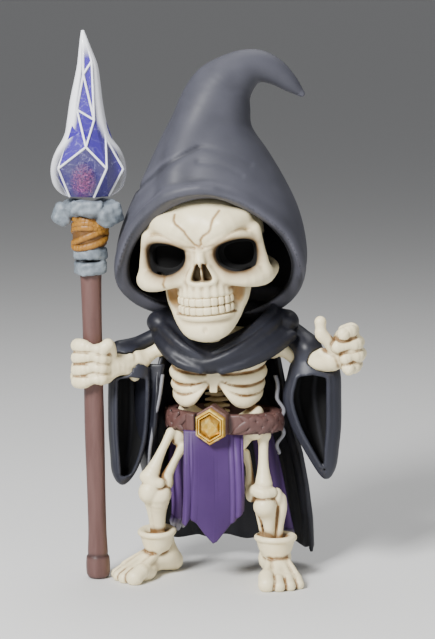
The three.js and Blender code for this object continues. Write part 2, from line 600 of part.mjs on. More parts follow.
function sleeveBody(rows, inset) {
  return loft(rows.map(([z, x, y, a, b]) => Array.from({ length: 9 }, (_, i) => {
    const turn = (2 * Math.PI * i) / 9;
    return V(x + (a - inset) * Math.cos(turn), y + (b - inset) * Math.sin(turn), z);
  })));
}

function sleeve(side, g = 0) {
  const { rows, shoulder } = SLEEVES[side];
  const cover = bone(shoulder, [[4.3, 3.4], [4.4, 3.4], [4.6, 3.6]], { steps: 2, grow: g });
  const outer = sleeveBody(rows, -g);
  if (g) return outer.add(cover);
  const inside = rows.slice(1, -1).map((row) => [...row]);
  inside[0][0] += 1.6;
  inside.at(-1)[0] += 0.6;
  const hollow = sleeveBody(inside, CLOTH);
  const mouth = sleeveBody(inside.map(([z, x, y, a, b]) => [z, x, y - 8, a * 0.97, b]), CLOTH);
  return cut(outer.add(cover), [hollow, mouth]);
}

// The cape: a folded sheet hanging from the shoulders, its upper edges turned forward
const CAPE = {
  height: [75, 66, 56, 46, 36, 26, 16, 7.6],
  middle: [3.8, 3.2, 2.8, 2.7, 3.2, 4.6, 6.4, 7.6],
  rightHalf: [15, 17.5, 18.8, 19.8, 20.8, 22.4, 24.6, 26.0],
  leftHalf: [15, 17.5, 19.6, 23.2, 26.0, 26.8, 26.6, 26.0],
  depth: [8.5, 11.4, 13.2, 14.4, 14.4, 14.4, 14.6, 14.8],
  back: [-1.5, -2.0, -2.4, -2.4, -1.6, -0.6, 0.2, 0.6],
  rightWrap: [78, 92, 108, 112, 100, 88, 82, 78],
  leftWrap: [78, 92, 96, 84, 78, 78, 80, 78],
};

function capePoint(u, v) {
  const [half, wrap] = u < 0.5 ? [CAPE.rightHalf, CAPE.rightWrap] : [CAPE.leftHalf, CAPE.leftWrap];
  const turn = (2 * u - 1) * rad(along(wrap, v));
  const fold = 1 + 0.06 * v * Math.cos(turn * 7 + 0.6);
  const [a, b] = [along(half, v) * fold, along(CAPE.depth, v) * fold];
  const skirt = v ** 6 * (1.2 - 3.6 * u);
  return V(along(CAPE.middle, v) + a * Math.sin(turn), along(CAPE.back, v) + b * Math.cos(turn),
    along(CAPE.height, v) + skirt);
}

const cape = () => sheet(capePoint, 16, 6, CLOTH);

// The belt with its six-sided boss, and the buckle
function belt(g = 0) {
  const { halfWidth, halfDepth, height, wall } = BELT;
  const steps = 24;
  const rings = Array.from({ length: steps }, (_, k) => {
    const turn = (2 * Math.PI * k) / steps;
    const [s, c] = [Math.sin(turn), Math.cos(turn)];
    const [half, thick] = [height / 2 + g, wall / 2 + g];
    const wave = 0.25 * Math.cos(turn * 9);
    return [[-1, -0.8], [0.7, -1], [1.25, 0], [0.7, 1], [-1, 0.8]].map(([p, q]) => V(
      (halfWidth - wall / 2 + p * thick + (p > 0 ? wave : 0)) * s,
      -(halfDepth - wall / 2 + p * thick + (p > 0 ? wave : 0)) * c, q * half));
  });
  const boss = plate(hexagon(5.9 + g), -14.0 - g, 3.4 + 2 * g);
  return placed(loft(rings, true).add(boss), { at: BELT.at, yaw: BELT.yaw });
}

const hexagon = (r) => Array.from({ length: 6 }, (_, i) => {
  const turn = (Math.PI * (2 * i + 1)) / 6 + Math.PI / 3;
  return [r * 0.92 * Math.cos(turn), r * Math.sin(turn)];
});

const buckleRoom = () => placed(plate(hexagon(5.5), -16.8, 4), { at: BELT.at, yaw: BELT.yaw });

function buckle() {
  const rise = (r1, r2, y1, y2) => loft([[r1, y1], [r2, y2]].map(([r, y]) => hexagon(r).map(([x, z]) => V(x, y, z))));
  return placed(join([
    cut(rise(5.2, 4.7, -14.3, -16.4), [rise(3.6, 3.9, -15.3, -16.6)]),
    rise(3.7, 1.3, -15.2, -16.7),
  ]), { at: BELT.at, yaw: BELT.yaw });
}

// The front cloth and the two hip cloths
const LOIN = { yaw: -6, bottom: [[0, 19.8], [0.1, 19.2], [0.16, 23.4], [0.24, 19.4], [0.55, 12.6], [1, 21.4]] };

function loinPoint(u, v) {
  const steps = LOIN.bottom;
  const k = steps.findIndex(([s]) => s >= u - 1e-9);
  const [a, b] = [steps[Math.max(k - 1, 0)], steps[Math.max(k, 0)]];
  const foot = b[0] === a[0] ? b[1] : lerp(a[1], b[1], (u - a[0]) / (b[0] - a[0]));
  const z = lerp(46.2, foot, v);
  const x = lerp(-7.2, 10.0, u) + 0.6 * v * (u - 0.5);
  const pleat = 0.9 * Math.exp(-(((u - 0.86) / 0.08) ** 2)) + 0.8 * Math.exp(-(((u - 0.06) / 0.09) ** 2));
  return V(x, -14.6 - 2.8 * Math.sin(v * 2.2) - pleat + 2.2 * (u - 0.45) ** 2 + 0.05 * (x - 1), z);
}

const loincloth = () => sheet(loinPoint, 10, 5, 1.3);

const HIPS = {
  right: { top: [-6.8, 5.6, 46.4], foot: [-11.2, 4.6, 12.6], width: [5, 4.4], sway: -1.6 },
  left: { top: [14.6, 2.6, 46.4], foot: [22.0, 2.6, 9.4], width: [6, 9.5], sway: 0.5 },
};

function hipCloth(side) {
  const { top, foot: end, width, sway } = HIPS[side];
  return sheet((u, v) => V(
    lerp(top[0], end[0], v) + (u - 0.5) * lerp(width[0], width[1], v) + sway * Math.sin(v * 5),
    lerp(top[1], end[1], v) + 0.7 * Math.sin(v * 5) + 0.5 * Math.cos(u * 6),
    lerp(top[2], end[2], v) + 2.4 * v * Math.abs(u - 0.55)), 4, 6, 1.2);
}

/** Every piece as a solid, each cut back from the ones it touches. */
function pieces() {
  const skullAt = (g) => placed(skull(g), HEAD);
  const grown = {
    torso: torso(GAP), armRight: arm('right', GAP), armLeft: arm('left', GAP),
    legRight: leg('right', GAP), legLeft: leg('left', GAP), cowl: cowl(GAP), belt: belt(GAP), shaft: shaft(GAP),
    sleeveRight: sleeve('right', GAP), sleeveLeft: sleeve('left', GAP), wrap: wrapBody(GAP), buckle: buckleRoom(),
  };
  const collar = cut(cowl(), [skullAt(GAP), grown.torso, grown.armRight, grown.armLeft]);
  return {
    skull: [skullAt(0), 'bone'],
    hood: [cut(hood(), [skullAt(GAP)]), 'robe'],
    cowl: [collar, 'robe'],
    torso: [torso(), 'bone'],
    arm_right: [cut(arm('right'), [grown.torso, grown.shaft]), 'bone'],
    arm_left: [cut(arm('left'), [grown.torso]), 'bone'],
    sleeve_right: [cut(sleeve('right'), [grown.armRight, grown.cowl, grown.torso]), 'robe'],
    sleeve_left: [cut(sleeve('left'), [grown.armLeft, grown.cowl, grown.torso]), 'robe'],
    cape: [cut(cape(), [grown.cowl, grown.sleeveRight, grown.sleeveLeft, grown.torso, grown.belt,
      grown.armRight, grown.armLeft]), 'robe'],
    leg_right: [cut(leg('right'), [grown.torso, grown.belt, grown.shaft]), 'bone'],
    leg_left: [cut(leg('left'), [grown.torso, grown.belt]), 'bone'],
    belt: [cut(belt(), [grown.torso]), 'leather'],
    buckle: [buckle(), 'gold'],
    loincloth: [cut(loincloth(), [grown.belt, grown.buckle, grown.legRight, grown.legLeft]), 'purple'],
    hip_cloth_right: [cut(hipCloth('right'), [grown.belt, grown.torso, grown.legRight]), 'purple'],
    hip_cloth_left: [cut(hipCloth('left'), [grown.belt, grown.torso, grown.legLeft]), 'purple'],
    staff_shaft: [shaft(), 'wood'],
    staff_ferrule: [ferrule(), 'stone'],
    staff_wrap: [wrapBody(), 'wrap'],
    staff_setting: [cut(setting(), [grown.wrap]), 'stone'],
    staff_crystal: [crystal(), 'crystal'],
  };
}

/** The largest connected body of a solid: slivers that a cut leaves loose are dropped. */
function largest(piece) {
  const parts = piece.decompose();
  return parts.reduce((best, part) => (part.volume() > best.volume() ? part : best));
}

/** Neighbours of one corner, from the facets that meet there. */
const around = (facets, corner) => new Set([...facets].flat().filter((k) => k !== corner));

const planeOf = (points, facet, swap = null) => new THREE.Plane()
  .setFromCoplanarPoints(...facet.map((k) => points[swap && k === swap[0] ? swap[1] : k]));

/** How far the surface moves if one corner slides onto a neighbour, or Infinity where it would fold. */
function slideError(points, facets, from, to) {
  const shared = [...around(facets[from], from)].filter((k) => around(facets[to], to).has(k));
  if (shared.length !== 2) return Infinity;
  let error = 0;
  for (const facet of facets[from]) {
    if (facet.includes(to)) continue;
    const before = planeOf(points, facet);
    const after = planeOf(points, facet, [from, to]);
    if (!(before.normal.dot(after.normal) > 0.3)) return Infinity;
    error = Math.max(error, Math.abs(before.distanceToPoint(points[to])));
  }
  return error;
}

/** Corners that hardly shape a surface are slid onto a neighbour, which takes out the slivers of a join. */
function thinned({ vertProperties, triVerts }) {
  const points = Array.from({ length: vertProperties.length / 3 }, (_, i) => V().fromArray(vertProperties, 3 * i));
  const facets = points.map(() => new Set());
  for (let i = 0; i < triVerts.length; i += 3) {
    const facet = [...triVerts.slice(i, i + 3)];
    facet.forEach((k) => facets[k].add(facet));
  }
  const moved = points.map(() => 0);
  for (let round = 0; round < 4; round++) {
    for (let from = 0; from < points.length; from++) {
      if (!facets[from].size) continue;
      const [cost, to] = [...around(facets[from], from)]
        .map((k) => [slideError(points, facets, from, k) + moved[from], k])
        .reduce((best, one) => (one[0] < best[0] ? one : best));
      if (!(cost < THIN)) continue;
      moved[to] = Math.max(moved[to], cost);
      for (const facet of [...facets[from]]) {
        if (facet.includes(to)) facet.forEach((k) => facets[k].delete(facet));
        else {
          facet[facet.indexOf(from)] = to;
          facets[to].add(facet);
        }
      }
      facets[from].clear();
    }
  }
  const index = [...new Set(facets.flatMap((set) => [...set]))].flat();
  return { points, index };
}

function meshOf(name, piece, material) {
  const { points, index } = thinned(largest(piece).getMesh());
  const used = [...new Set(index)];
  const place = new Map(used.map((k, i) => [k, i]));
  const geometry = new THREE.BufferGeometry().setFromPoints(used.map((k) => points[k]));
  geometry.setIndex(index.map((k) => place.get(k)));
  geometry.computeVertexNormals();
  const mesh = new THREE.Mesh(geometry, material);
  mesh.name = name;
  return mesh;
}

const figure = new THREE.Group();
const materials = Object.fromEntries(Object.entries(COLOURS).map(([name, [color, roughness, metalness]]) => [
  name, new THREE.MeshStandardMaterial({ color, roughness, metalness })]));
for (const [name, [piece, finish]] of Object.entries(pieces())) {
  figure.add(meshOf(name, piece, materials[finish]));
}
figure.position.set(-CENTRE.x, -CENTRE.y, 0);

export default figure;
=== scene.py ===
"""Looks of a moulded hooded skeleton figurine with a crystal staff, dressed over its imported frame.

Shapes are worked out in millimetres, in the figure's own coordinates, and written in metres in the frame.
"""

import logging
import math
from dataclasses import dataclass, field
from enum import Enum
from typing import Callable, Iterable, Sequence

import bpy
import numpy as np
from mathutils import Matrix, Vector


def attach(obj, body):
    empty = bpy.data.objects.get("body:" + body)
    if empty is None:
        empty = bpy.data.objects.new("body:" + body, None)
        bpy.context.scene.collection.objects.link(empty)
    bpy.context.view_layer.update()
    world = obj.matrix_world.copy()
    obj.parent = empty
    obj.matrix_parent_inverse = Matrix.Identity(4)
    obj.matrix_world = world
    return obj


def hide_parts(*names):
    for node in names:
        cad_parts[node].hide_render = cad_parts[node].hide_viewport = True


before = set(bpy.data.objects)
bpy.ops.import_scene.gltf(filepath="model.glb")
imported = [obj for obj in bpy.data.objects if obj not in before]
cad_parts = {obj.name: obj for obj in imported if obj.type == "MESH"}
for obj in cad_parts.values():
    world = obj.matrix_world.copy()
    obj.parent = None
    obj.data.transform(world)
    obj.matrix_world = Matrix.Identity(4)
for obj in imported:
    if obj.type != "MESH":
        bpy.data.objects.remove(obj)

log = logging.getLogger("figurine")

Array = np.ndarray
Distance = Callable[[Array], Array]
Point = Sequence[float]
Line = Sequence[Point]
Finish = bpy.types.Material

MM = 0.001
SHIFT = np.array([-0.32, 4.56, 0])  # from the figure's coordinates to the frame's origin
FAR = 999.0  # the reach of a solid with no edge
FINE = 1.0  # how much coarser the meshes are while trying things


def metres(points: Array) -> Array:
    """Points of the figure, in millimetres, as points of the frame, in metres."""
    return (np.asarray(points, float) + SHIFT) * MM


def smooth_line(points: Array, steps: int, closed: bool = False) -> Array:
    """A smooth run through given points.

    Args:
        points: rows of coordinates or sizes.
        steps: stretches between two neighbouring points.
        closed: whether the last point joins the first.

    Returns:
        The rows of the smooth run.
    """
    p = np.asarray(points, float)
    count = len(p) if closed else len(p) - 1
    pick = (lambda i: p[i % len(p)]) if closed else (lambda i: p[np.clip(i, 0, len(p) - 1)])
    rows = []
    for i in range(count):
        a, b, c, d = (pick(np.array(i + k)) for k in (-1, 0, 1, 2))
        for t in np.arange(steps) / steps:
            rows.append(0.5 * (2 * b + (c - a) * t + (2 * a - 5 * b + 4 * c - d) * t * t
                               + (3 * b - a - 3 * c + d) * t ** 3))
    return np.array(rows if closed else rows + [p[-1]])


def stretch_gap(points: Array, a: Array, b: Array) -> tuple[Array, Array]:
    """How far points lie from a straight stretch, squared, and their share of the way along it."""
    run, off = b - a, points - a
    t = np.clip(off @ run / max(run @ run, 1e-9), 0, 1)
    return ((off - t[:, None] * run) ** 2).sum(1), t


def fading(gap: Array, width: float) -> Array:
    """1 where a gap is nothing, falling off softly to 0 over about a width."""
    return np.exp(-(gap / width) ** 2)


@dataclass(frozen=True)
class Place:
    """Where a sub-assembly stands and how it is turned, in degrees."""

    at: Point = (0.0, 0.0, 0.0)
    yaw: float = 0.0
    roll: float = 0.0
    pitch: float = 0.0

    def matrix(self) -> Array:
        """The turn as a 3 by 3 matrix: pitch about X, then roll about Y, then yaw about Z."""
        (cz, sz), (cy, sy), (cx, sx) = ((math.cos(math.radians(a)), math.sin(math.radians(a)))
                                        for a in (self.yaw, self.roll, self.pitch))
        about_z = np.array([[cz, -sz, 0], [sz, cz, 0], [0, 0, 1]])
        about_y = np.array([[cy, 0, sy], [0, 1, 0], [-sy, 0, cy]])
        about_x = np.array([[1, 0, 0], [0, cx, -sx], [0, sx, cx]])
        return about_z @ about_y @ about_x

    def out(self, points: Array) -> Array:
        """Points of the sub-assembly in the figure's coordinates."""
        return np.asarray(points, float) @ self.matrix().T + np.asarray(self.at)

    def into(self, points: Array) -> Array:
        """Points of the figure in the sub-assembly's coordinates."""
        return (points - np.asarray(self.at)) @ self.matrix()


@dataclass
class Form:
    """A solid given by the distance to its surface, with a ball that holds it, so far points are skipped."""

    distance: Distance
    centre: Array
    reach: float

    def __call__(self, points: Array) -> Array:
        """Signed distances of points, below zero inside."""
        return self.distance(points)

    def placed(self, place: Place) -> "Form":
        """The same solid where a sub-assembly stands."""
        return Form(lambda p: self.distance(place.into(p)), place.out(self.centre), self.reach)


def ball(at: Point, radii: Point | float, turn: Point = (0, 0, 0)) -> Form:
    """An egg.

    Args:
        at: its middle.
        radii: half its size along X, Y and Z, or one radius.
        turn: its pitch, roll and yaw in degrees.

    Returns:
        The solid.
    """
    r = np.broadcast_to(np.asarray(radii, float), (3,))
    place = Place(at, pitch=turn[0], roll=turn[1], yaw=turn[2])

    def distance(p: Array) -> Array:
        """Distances to the egg, near enough."""
        q = place.into(p)
        near = np.sqrt(((q / r) ** 2).sum(1))
        slope = np.sqrt(((q / r ** 2) ** 2).sum(1))
        return near * (near - 1) / np.maximum(slope, 1e-6)

    return Form(distance, np.asarray(at, float), float(r.max()))


def slab(at: Point, half: Point, soft: float, turn: Point = (0, 0, 0)) -> Form:
    """A box with rounded edges: its middle, half sizes, edge radius and turn in degrees."""
    h = np.asarray(half, float) - soft
    place = Place(at, pitch=turn[0], roll=turn[1], yaw=turn[2])

    def distance(p: Array) -> Array:
        """Distances to the box."""
        q = np.abs(place.into(p)) - h
        return np.sqrt((np.maximum(q, 0) ** 2).sum(1)) + np.minimum(q.max(1), 0) - soft

    return Form(distance, np.asarray(at, float), float(np.linalg.norm(half)))


def rod(line: Line, radii: Sequence[float], steps: int = 3, closed: bool = False) -> Form:
    """A round limb along a smooth line, its radius following a smooth run of sizes.

    Args:
        line: given points.
        radii: one radius for each point.
        steps: stretches between two points.
        closed: whether the line joins its own start.

    Returns:
        The solid.
    """
    rows = smooth_line(np.column_stack([np.asarray(line, float), np.asarray(radii, float)]), steps, closed)
    ends = np.vstack([rows[1:], rows[:1]]) if closed else rows[1:]
    starts = rows if closed else rows[:-1]
    low, high = rows[:, :3].min(0), rows[:, :3].max(0)
    centre = (low + high) / 2
    reach = float((np.linalg.norm(rows[:, :3] - centre, axis=1) + rows[:, 3]).max())

    def distance(p: Array) -> Array:
        """Distances to the nearest stretch of the limb."""
        best = np.full(len(p), 1e9)
        for a, b in zip(starts, ends):
            gap, t = stretch_gap(p, a[:3], b[:3])
            best = np.minimum(best, np.sqrt(gap) - (a[3] + t * (b[3] - a[3])))
        return best

    return Form(distance, centre, reach)


def stack(rows: Line) -> Form:
    """A body of level rings: each row is a height, a middle X and Y, and a half width and half depth."""
    table = smooth_line(rows, 6)
    z, widest = table[:, 0], float(max(table[:, 3].max(), table[:, 4].max()))
    low, high = float(z.min()), float(z.max())
    order = np.argsort(z)
    z, table = z[order], table[order]
    slopes = np.gradient((table[:, 3] + table[:, 4]) / 2, z)

    def distance(p: Array) -> Array:
        """Distances to the ring at each point's height."""
        cx, cy, a, b = (np.interp(p[:, 2], z, table[:, k]) for k in (1, 2, 3, 4))
        x, y = p[:, 0] - cx, p[:, 1] - cy
        share = np.sqrt((x / a) ** 2 + (y / b) ** 2)
        flat = np.sqrt(x * x + y * y)
        side = np.where(share > 0.05, flat * (1 - 1 / np.maximum(share, 0.05)), -np.minimum(a, b))
        side = side / np.sqrt(1 + np.interp(p[:, 2], z, slopes) ** 2)
        ends = np.maximum(low - p[:, 2], p[:, 2] - high)
        return np.where(ends > 0, np.sqrt(np.maximum(side, 0) ** 2 + ends ** 2), np.maximum(side, ends))

    middle = np.array([table[:, 1].mean(), table[:, 2].mean(), (low + high) / 2])
    return Form(distance, middle, math.hypot(widest, (high - low) / 2) + 4)


def joined(forms: Iterable[Form], soft: float = 0.0) -> Form:
    """Solids run together, with hollows rounded out by about soft millimetres."""
    parts = list(forms)
    centres = np.array([f.centre for f in parts])
    middle = (centres.min(0) + centres.max(0)) / 2
    reach = max(float(np.linalg.norm(f.centre - middle)) + f.reach for f in parts)

    def distance(p: Array) -> Array:
        """The lowest of the parts' distances."""
        best = np.full(len(p), 1e3)
        for part in parts:
            gap = np.sqrt(((p - part.centre) ** 2).sum(1)) - part.reach
            near = np.flatnonzero(gap < best + soft)
            if not len(near):
                continue
            new, old = part(p[near]), best[near]
            best[near] = low_blend(old, new, soft)
        return best

    return Form(distance, middle, reach + soft)


def low_blend(a: Array, b: Array, soft: float) -> Array:
    """The lower of two distances, rounded where they meet."""
    if soft <= 0:
        return np.minimum(a, b)
    h = np.maximum(soft - np.abs(a - b), 0) / soft
    return np.minimum(a, b) - h * h * soft / 4


def carved(base: Form, tools: Iterable[Form], soft: float = 0.0) -> Form:
    """A solid with others taken out of it, with edges rounded by about soft millimetres."""
    parts = list(tools)

    def distance(p: Array) -> Array:
        """Distances to what the tools leave."""
        rest = base(p)
        for part in parts:
            gap = np.sqrt(((p - part.centre) ** 2).sum(1)) - part.reach
            near = np.flatnonzero(-gap + soft > rest)
            if len(near):
                rest[near] = -low_blend(-rest[near], part(p[near]), soft)
        return rest

    return Form(distance, base.centre, base.reach)


def kept(base: Form, within: Form, soft: float = 0.0) -> Form:
    """The part of a solid that lies within another."""
    return Form(lambda p: -low_blend(-base(p), -within(p), soft), base.centre, base.reach)


def above(height: float) -> Form:
    """Everything over a level plane."""
    return Form(lambda p: height - p[:, 2], np.zeros(3), 1e4)


def both(make: Callable[..., Form], at: Point | Line, *sizes: object, middle: float = 0.0) -> list[Form]:
    """The same solid on both sides of a middle plane.

    Args:
        make: ball, rod or prism.
        at: its place or line, X counted from the plane.
        sizes: what else the solid is made from.
        middle: the plane's own X.

    Returns:
        The solid on the side of -X, then on the side of X.
    """
    line = np.array(at, float)
    rest = [1.0] * (line.shape[-1] - 1)
    return [make(line * [s, *rest] + [middle, *np.zeros(len(rest))], *sizes) for s in (-1.0, 1.0)]


@dataclass
class Skin:
    """A mesh in the figure's millimetres, with values for its points."""

    points: Array
    faces: list[Array]
    values: dict[str, Array] = field(default_factory=dict)


CORNERS = np.array([[i, j, k] for i in (0, 1) for j in (0, 1) for k in (0, 1)])
EDGES = [(a, b) for a in range(8) for b in range(a + 1, 8) if np.abs(CORNERS[a] - CORNERS[b]).sum() == 1]
BLOCK = 4  # cells along the side of a block that is measured or skipped as one
CHUNK = 150000  # points that are measured at once
EDGE_STEPS = 2  # grid steps that the rounding of a sheet's edge takes


def spread(form: Form, points: Array) -> Array:
    """Distances of many points, a chunk at a time."""
    return np.concatenate([form(points[i:i + CHUNK]) for i in range(0, len(points), CHUNK)])


def slopes(form: Form, points: Array, step: float) -> Array:
    """Outward directions of a solid's surface at points."""
    turn = np.array([[1, -1, -1], [-1, -1, 1], [-1, 1, -1], [1, 1, 1]], float)
    total = sum(k * spread(form, points + k * step)[:, None] for k in turn)
    return total / np.maximum(np.linalg.norm(total, axis=1, keepdims=True), 1e-9)


def skinned(form: Form, low: Point, high: Point, voxel: float) -> Skin:
    """Meshes a solid: one point in each small cell that its surface crosses, pulled onto the surface.

    Args:
        form: the solid.
        low: lowest corner of the box to mesh.
        high: highest corner of it.
        voxel: size of a cell.

    Returns:
        Its closed surface of four-sided faces.
    """
    voxel = voxel * FINE
    low = np.asarray(low, float) - 2 * voxel
    shape = (np.ceil((np.asarray(high) + 2 * voxel - low) / voxel / BLOCK).astype(int)) * BLOCK
    blocks = np.stack(np.meshgrid(*[np.arange(n // BLOCK) for n in shape], indexing="ij"), -1).reshape(-1, 3)
    size = voxel * BLOCK
    far = np.abs(spread(form, low + (blocks + 0.5) * size))
    blocks = blocks[far < size * 1.45]
    grid = np.full(tuple(shape + 1), 9.0, np.float32)
    offsets = np.stack(np.meshgrid(*[np.arange(BLOCK + 1)] * 3, indexing="ij"), -1).reshape(-1, 3)
    spots = (blocks[:, None] * BLOCK + offsets[None]).reshape(-1, 3)
    flat = np.unique(np.ravel_multi_index(spots.T, grid.shape))
    spots = np.stack(np.unravel_index(flat, grid.shape), 1)
    grid.ravel()[flat] = spread(form, low + spots * voxel)
    inner = np.stack(np.meshgrid(*[np.arange(BLOCK)] * 3, indexing="ij"), -1).reshape(-1, 3)
    cells = (blocks[:, None] * BLOCK + inner[None]).reshape(-1, 3)
    corner = np.stack([grid[tuple((cells + c).T)] for c in CORNERS], 1)
    crossed = (corner < 0).any(1) & (corner >= 0).any(1)
    cells, corner = cells[crossed], corner[crossed]
    total, count = np.zeros((len(cells), 3)), np.zeros(len(cells))
    for a, b in EDGES:
        va, vb = corner[:, a], corner[:, b]
        hit = (va < 0) != (vb < 0)
        t = np.where(hit, va / np.where(hit, va - vb, 1), 0)
        spot = CORNERS[a] + t[:, None] * (CORNERS[b] - CORNERS[a])
        total += spot * hit[:, None]
        count += hit
    points = low + (cells + total / count[:, None]) * voxel
    number = np.full(tuple(shape + 1), -1, np.int32)
    number[tuple(cells.T)] = np.arange(len(cells))
    faces = []
    for axis in range(3):
        u, v = np.eye(3, dtype=int)[(axis + 1) % 3], np.eye(3, dtype=int)[(axis + 2) % 3]
        start = grid[tuple(cells.T)]
        end = grid[tuple((cells + np.eye(3, dtype=int)[axis]).T)]
        edge = ((start < 0) != (end < 0)) & (cells @ u > 0) & (cells @ v > 0)
        at, inside = cells[edge], start[edge] < 0
        ring = np.stack([number[tuple((at - s).T)] for s in (0 * u, u, u + v, v)], 1)
        ring[~inside] = ring[~inside][:, ::-1]
        faces.append(ring[(ring >= 0).all(1)])
    quads = np.concatenate(faces)
    for _ in range(2):
        normal = slopes(form, points, 0.3 * voxel)
        points = points - np.clip(spread(form, points), -voxel, voxel)[:, None] * normal
    return Skin(points, [quads], {})


def crevice(form: Form, points: Array, reaches: Sequence[float]) -> Array:
    """How enclosed each surface point is, from 0 in the open to 1 deep in a groove."""
    normal = slopes(form, points, 0.15)
    shares = [np.clip(1 - spread(form, points + normal * r) / r, 0, 1) for r in reaches]
    return np.mean(shares, 0)


def crest(form: Form, points: Array, depth: float) -> Array:
    """How much a surface point stands proud, from 0 on flat stretches to 1 on a sharp ridge."""
    normal = slopes(form, points, 0.15)
    return np.clip(1 + spread(form, points - normal * depth) / depth, 0, 1)


def seen_gap(points: Array, lines: Sequence[Line]) -> Array:
    """How far points lie, seen from the front, from lines of X and Z."""
    best = np.full(len(points), 1e9)
    flat = points[:, [0, 2]]
    for line in lines:
        corners = np.asarray(line, float)
        for a, b in zip(corners[:-1], corners[1:]):
            best = np.minimum(best, stretch_gap(flat, a, b)[0])
    return np.sqrt(best)


def outline_gap(flat: Array, outline: Array) -> Array:
    """Signed distances of flat points from a closed outline, below zero inside."""
    best = np.full(len(flat), 1e9)
    inside = np.zeros(len(flat), bool)
    for a, b in zip(outline, np.roll(outline, -1, axis=0)):
        run, off = b - a, flat - a
        best = np.minimum(best, stretch_gap(flat, a, b)[0])
        crosses = (a[1] > flat[:, 1]) != (b[1] > flat[:, 1])
        inside ^= crosses & (off[:, 0] < off[:, 1] * run[0] / (run[1] if abs(run[1]) > 1e-12 else 1e-12))
    return np.where(inside, -1.0, 1.0) * np.sqrt(best)


def prism(outline: Line, front: float, back: float, steps: int = 3) -> Form:
    """A straight-sided solid.

    Args:
        outline: corners in X and Z, joined by a smooth closed line.
        front: its nearest Y.
        back: its farthest Y.
        steps: stretches between two corners.

    Returns:
        The solid.
    """
    line = smooth_line(outline, steps, closed=True)
    middle = line.mean(0)
    half = (back - front) / 2
    reach = math.hypot(float(np.linalg.norm(line - middle, axis=1).max()), half)

    def distance(p: Array) -> Array:
        """Distances to the outline and the two ends."""
        side = outline_gap(p[:, [0, 2]], line)
        ends = np.abs(p[:, 1] - (front + back) / 2) - half
        return np.minimum(np.maximum(side, ends), 0) + np.hypot(np.maximum(side, 0), np.maximum(ends, 0))

    return Form(distance, np.array([middle[0], (front + back) / 2, middle[1]]), reach)


def sized(form: Form, grow: float) -> Form:
    """The same solid grown, or shrunk, by some millimetres."""
    return Form(lambda p: form(p) - grow, form.centre, form.reach + max(grow, 0))


def scored(form: Form, lines: Sequence[Line], depth: float, width: float, back: float) -> Form:
    """A solid with fine grooves in its front.

    Args:
        form: the solid.
        lines: each groove's X and Z, seen from the front.
        depth: how deep a groove is.
        width: how wide.
        back: the Y behind which nothing is cut.

    Returns:
        The grooved solid.
    """
    def distance(p: Array) -> Array:
        """The form's distances, raised along the lines."""
        base = form(p)
        near = np.flatnonzero((np.abs(base) < 2 * depth + 1) & (p[:, 1] < back))
        fade = np.clip((back - p[near, 1]) / 5, 0, 1)
        base[near] += depth * fade * fading(seen_gap(p[near], lines), width)
        return base

    return Form(distance, form.centre, form.reach)


def sheet(grid: Array, thick: float) -> Skin:
    """A closed cloth of even thickness over a grid of points, its edges rounded.

    Args:
        grid: points in rows and columns, shape rows by columns by 3.
        thick: its thickness.

    Returns:
        Its surface, with the fold value of each point: painted shade in hollows and a painted highlight on
        crests.
    """
    across, down = np.gradient(grid, axis=0), np.gradient(grid, axis=1)
    normal = np.cross(across, down)
    normal /= np.maximum(np.linalg.norm(normal, axis=2, keepdims=True), 1e-9)
    rows, columns = grid.shape[:2]
    edge = np.minimum.outer(np.minimum(np.arange(rows), np.arange(rows)[::-1]),
                            np.minimum(np.arange(columns), np.arange(columns)[::-1])) + 0.35
    half = thick / 2 * np.sqrt(1 - (1 - np.clip(edge / EDGE_STEPS, 0, 1)) ** 2)
    front, back = grid + normal * half[..., None], grid - normal * half[..., None]
    number = np.arange(rows * columns).reshape(rows, columns)
    quads = np.stack([number[:-1, :-1], number[1:, :-1], number[1:, 1:], number[:-1, 1:]], -1).reshape(-1, 4)
    ring = np.concatenate([number[0, :-1], number[:-1, -1], number[-1, :0:-1], number[:0:-1, 0]])
    rim = np.stack([ring, np.roll(ring, -1), np.roll(ring, -1) + rows * columns, ring + rows * columns], 1)
    bend = sum(np.roll(grid, k, axis=a) for k, a in ((1, 0), (-1, 0), (1, 1), (-1, 1))) / 4 - grid
    step = np.linalg.norm(across, axis=2) + 1e-6
    fold = (bend * normal).sum(2) / step ** 2
    fold[[0, -1]] = 0
    fold[:, [0, -1]] = 0
    # bent in: painted shade; bent out: painted highlight
    values = np.concatenate([np.clip(fold * 3, -1, 1).ravel(), np.clip(-fold * 3, -1, 1).ravel()])
    points = np.concatenate([front.reshape(-1, 3), back.reshape(-1, 3)])
    faces = np.concatenate([quads, quads[:, ::-1] + rows * columns, rim])
    return outward(Skin(points, [faces], {"wash": values}))


def outward(skin: Skin) -> Skin:
    """The same surface with its faces turned outward."""
    volume = 0.0
    for faces in skin.faces:
        corners = skin.points[faces]
        for k in range(1, faces.shape[1] - 1):
            volume += float((corners[:, 0] * np.cross(corners[:, k], corners[:, k + 1])).sum())
    if volume < 0:
        skin.faces = [faces[:, ::-1] for faces in skin.faces]
    return skin


def ring_faces(number: Array) -> Array:
    """Four-sided faces between neighbouring rings, given as rows of corner numbers."""
    near = np.roll(number, -1, axis=1)
    return np.stack([number[:-1], near[:-1], near[1:], number[1:]], -1).reshape(-1, 4)


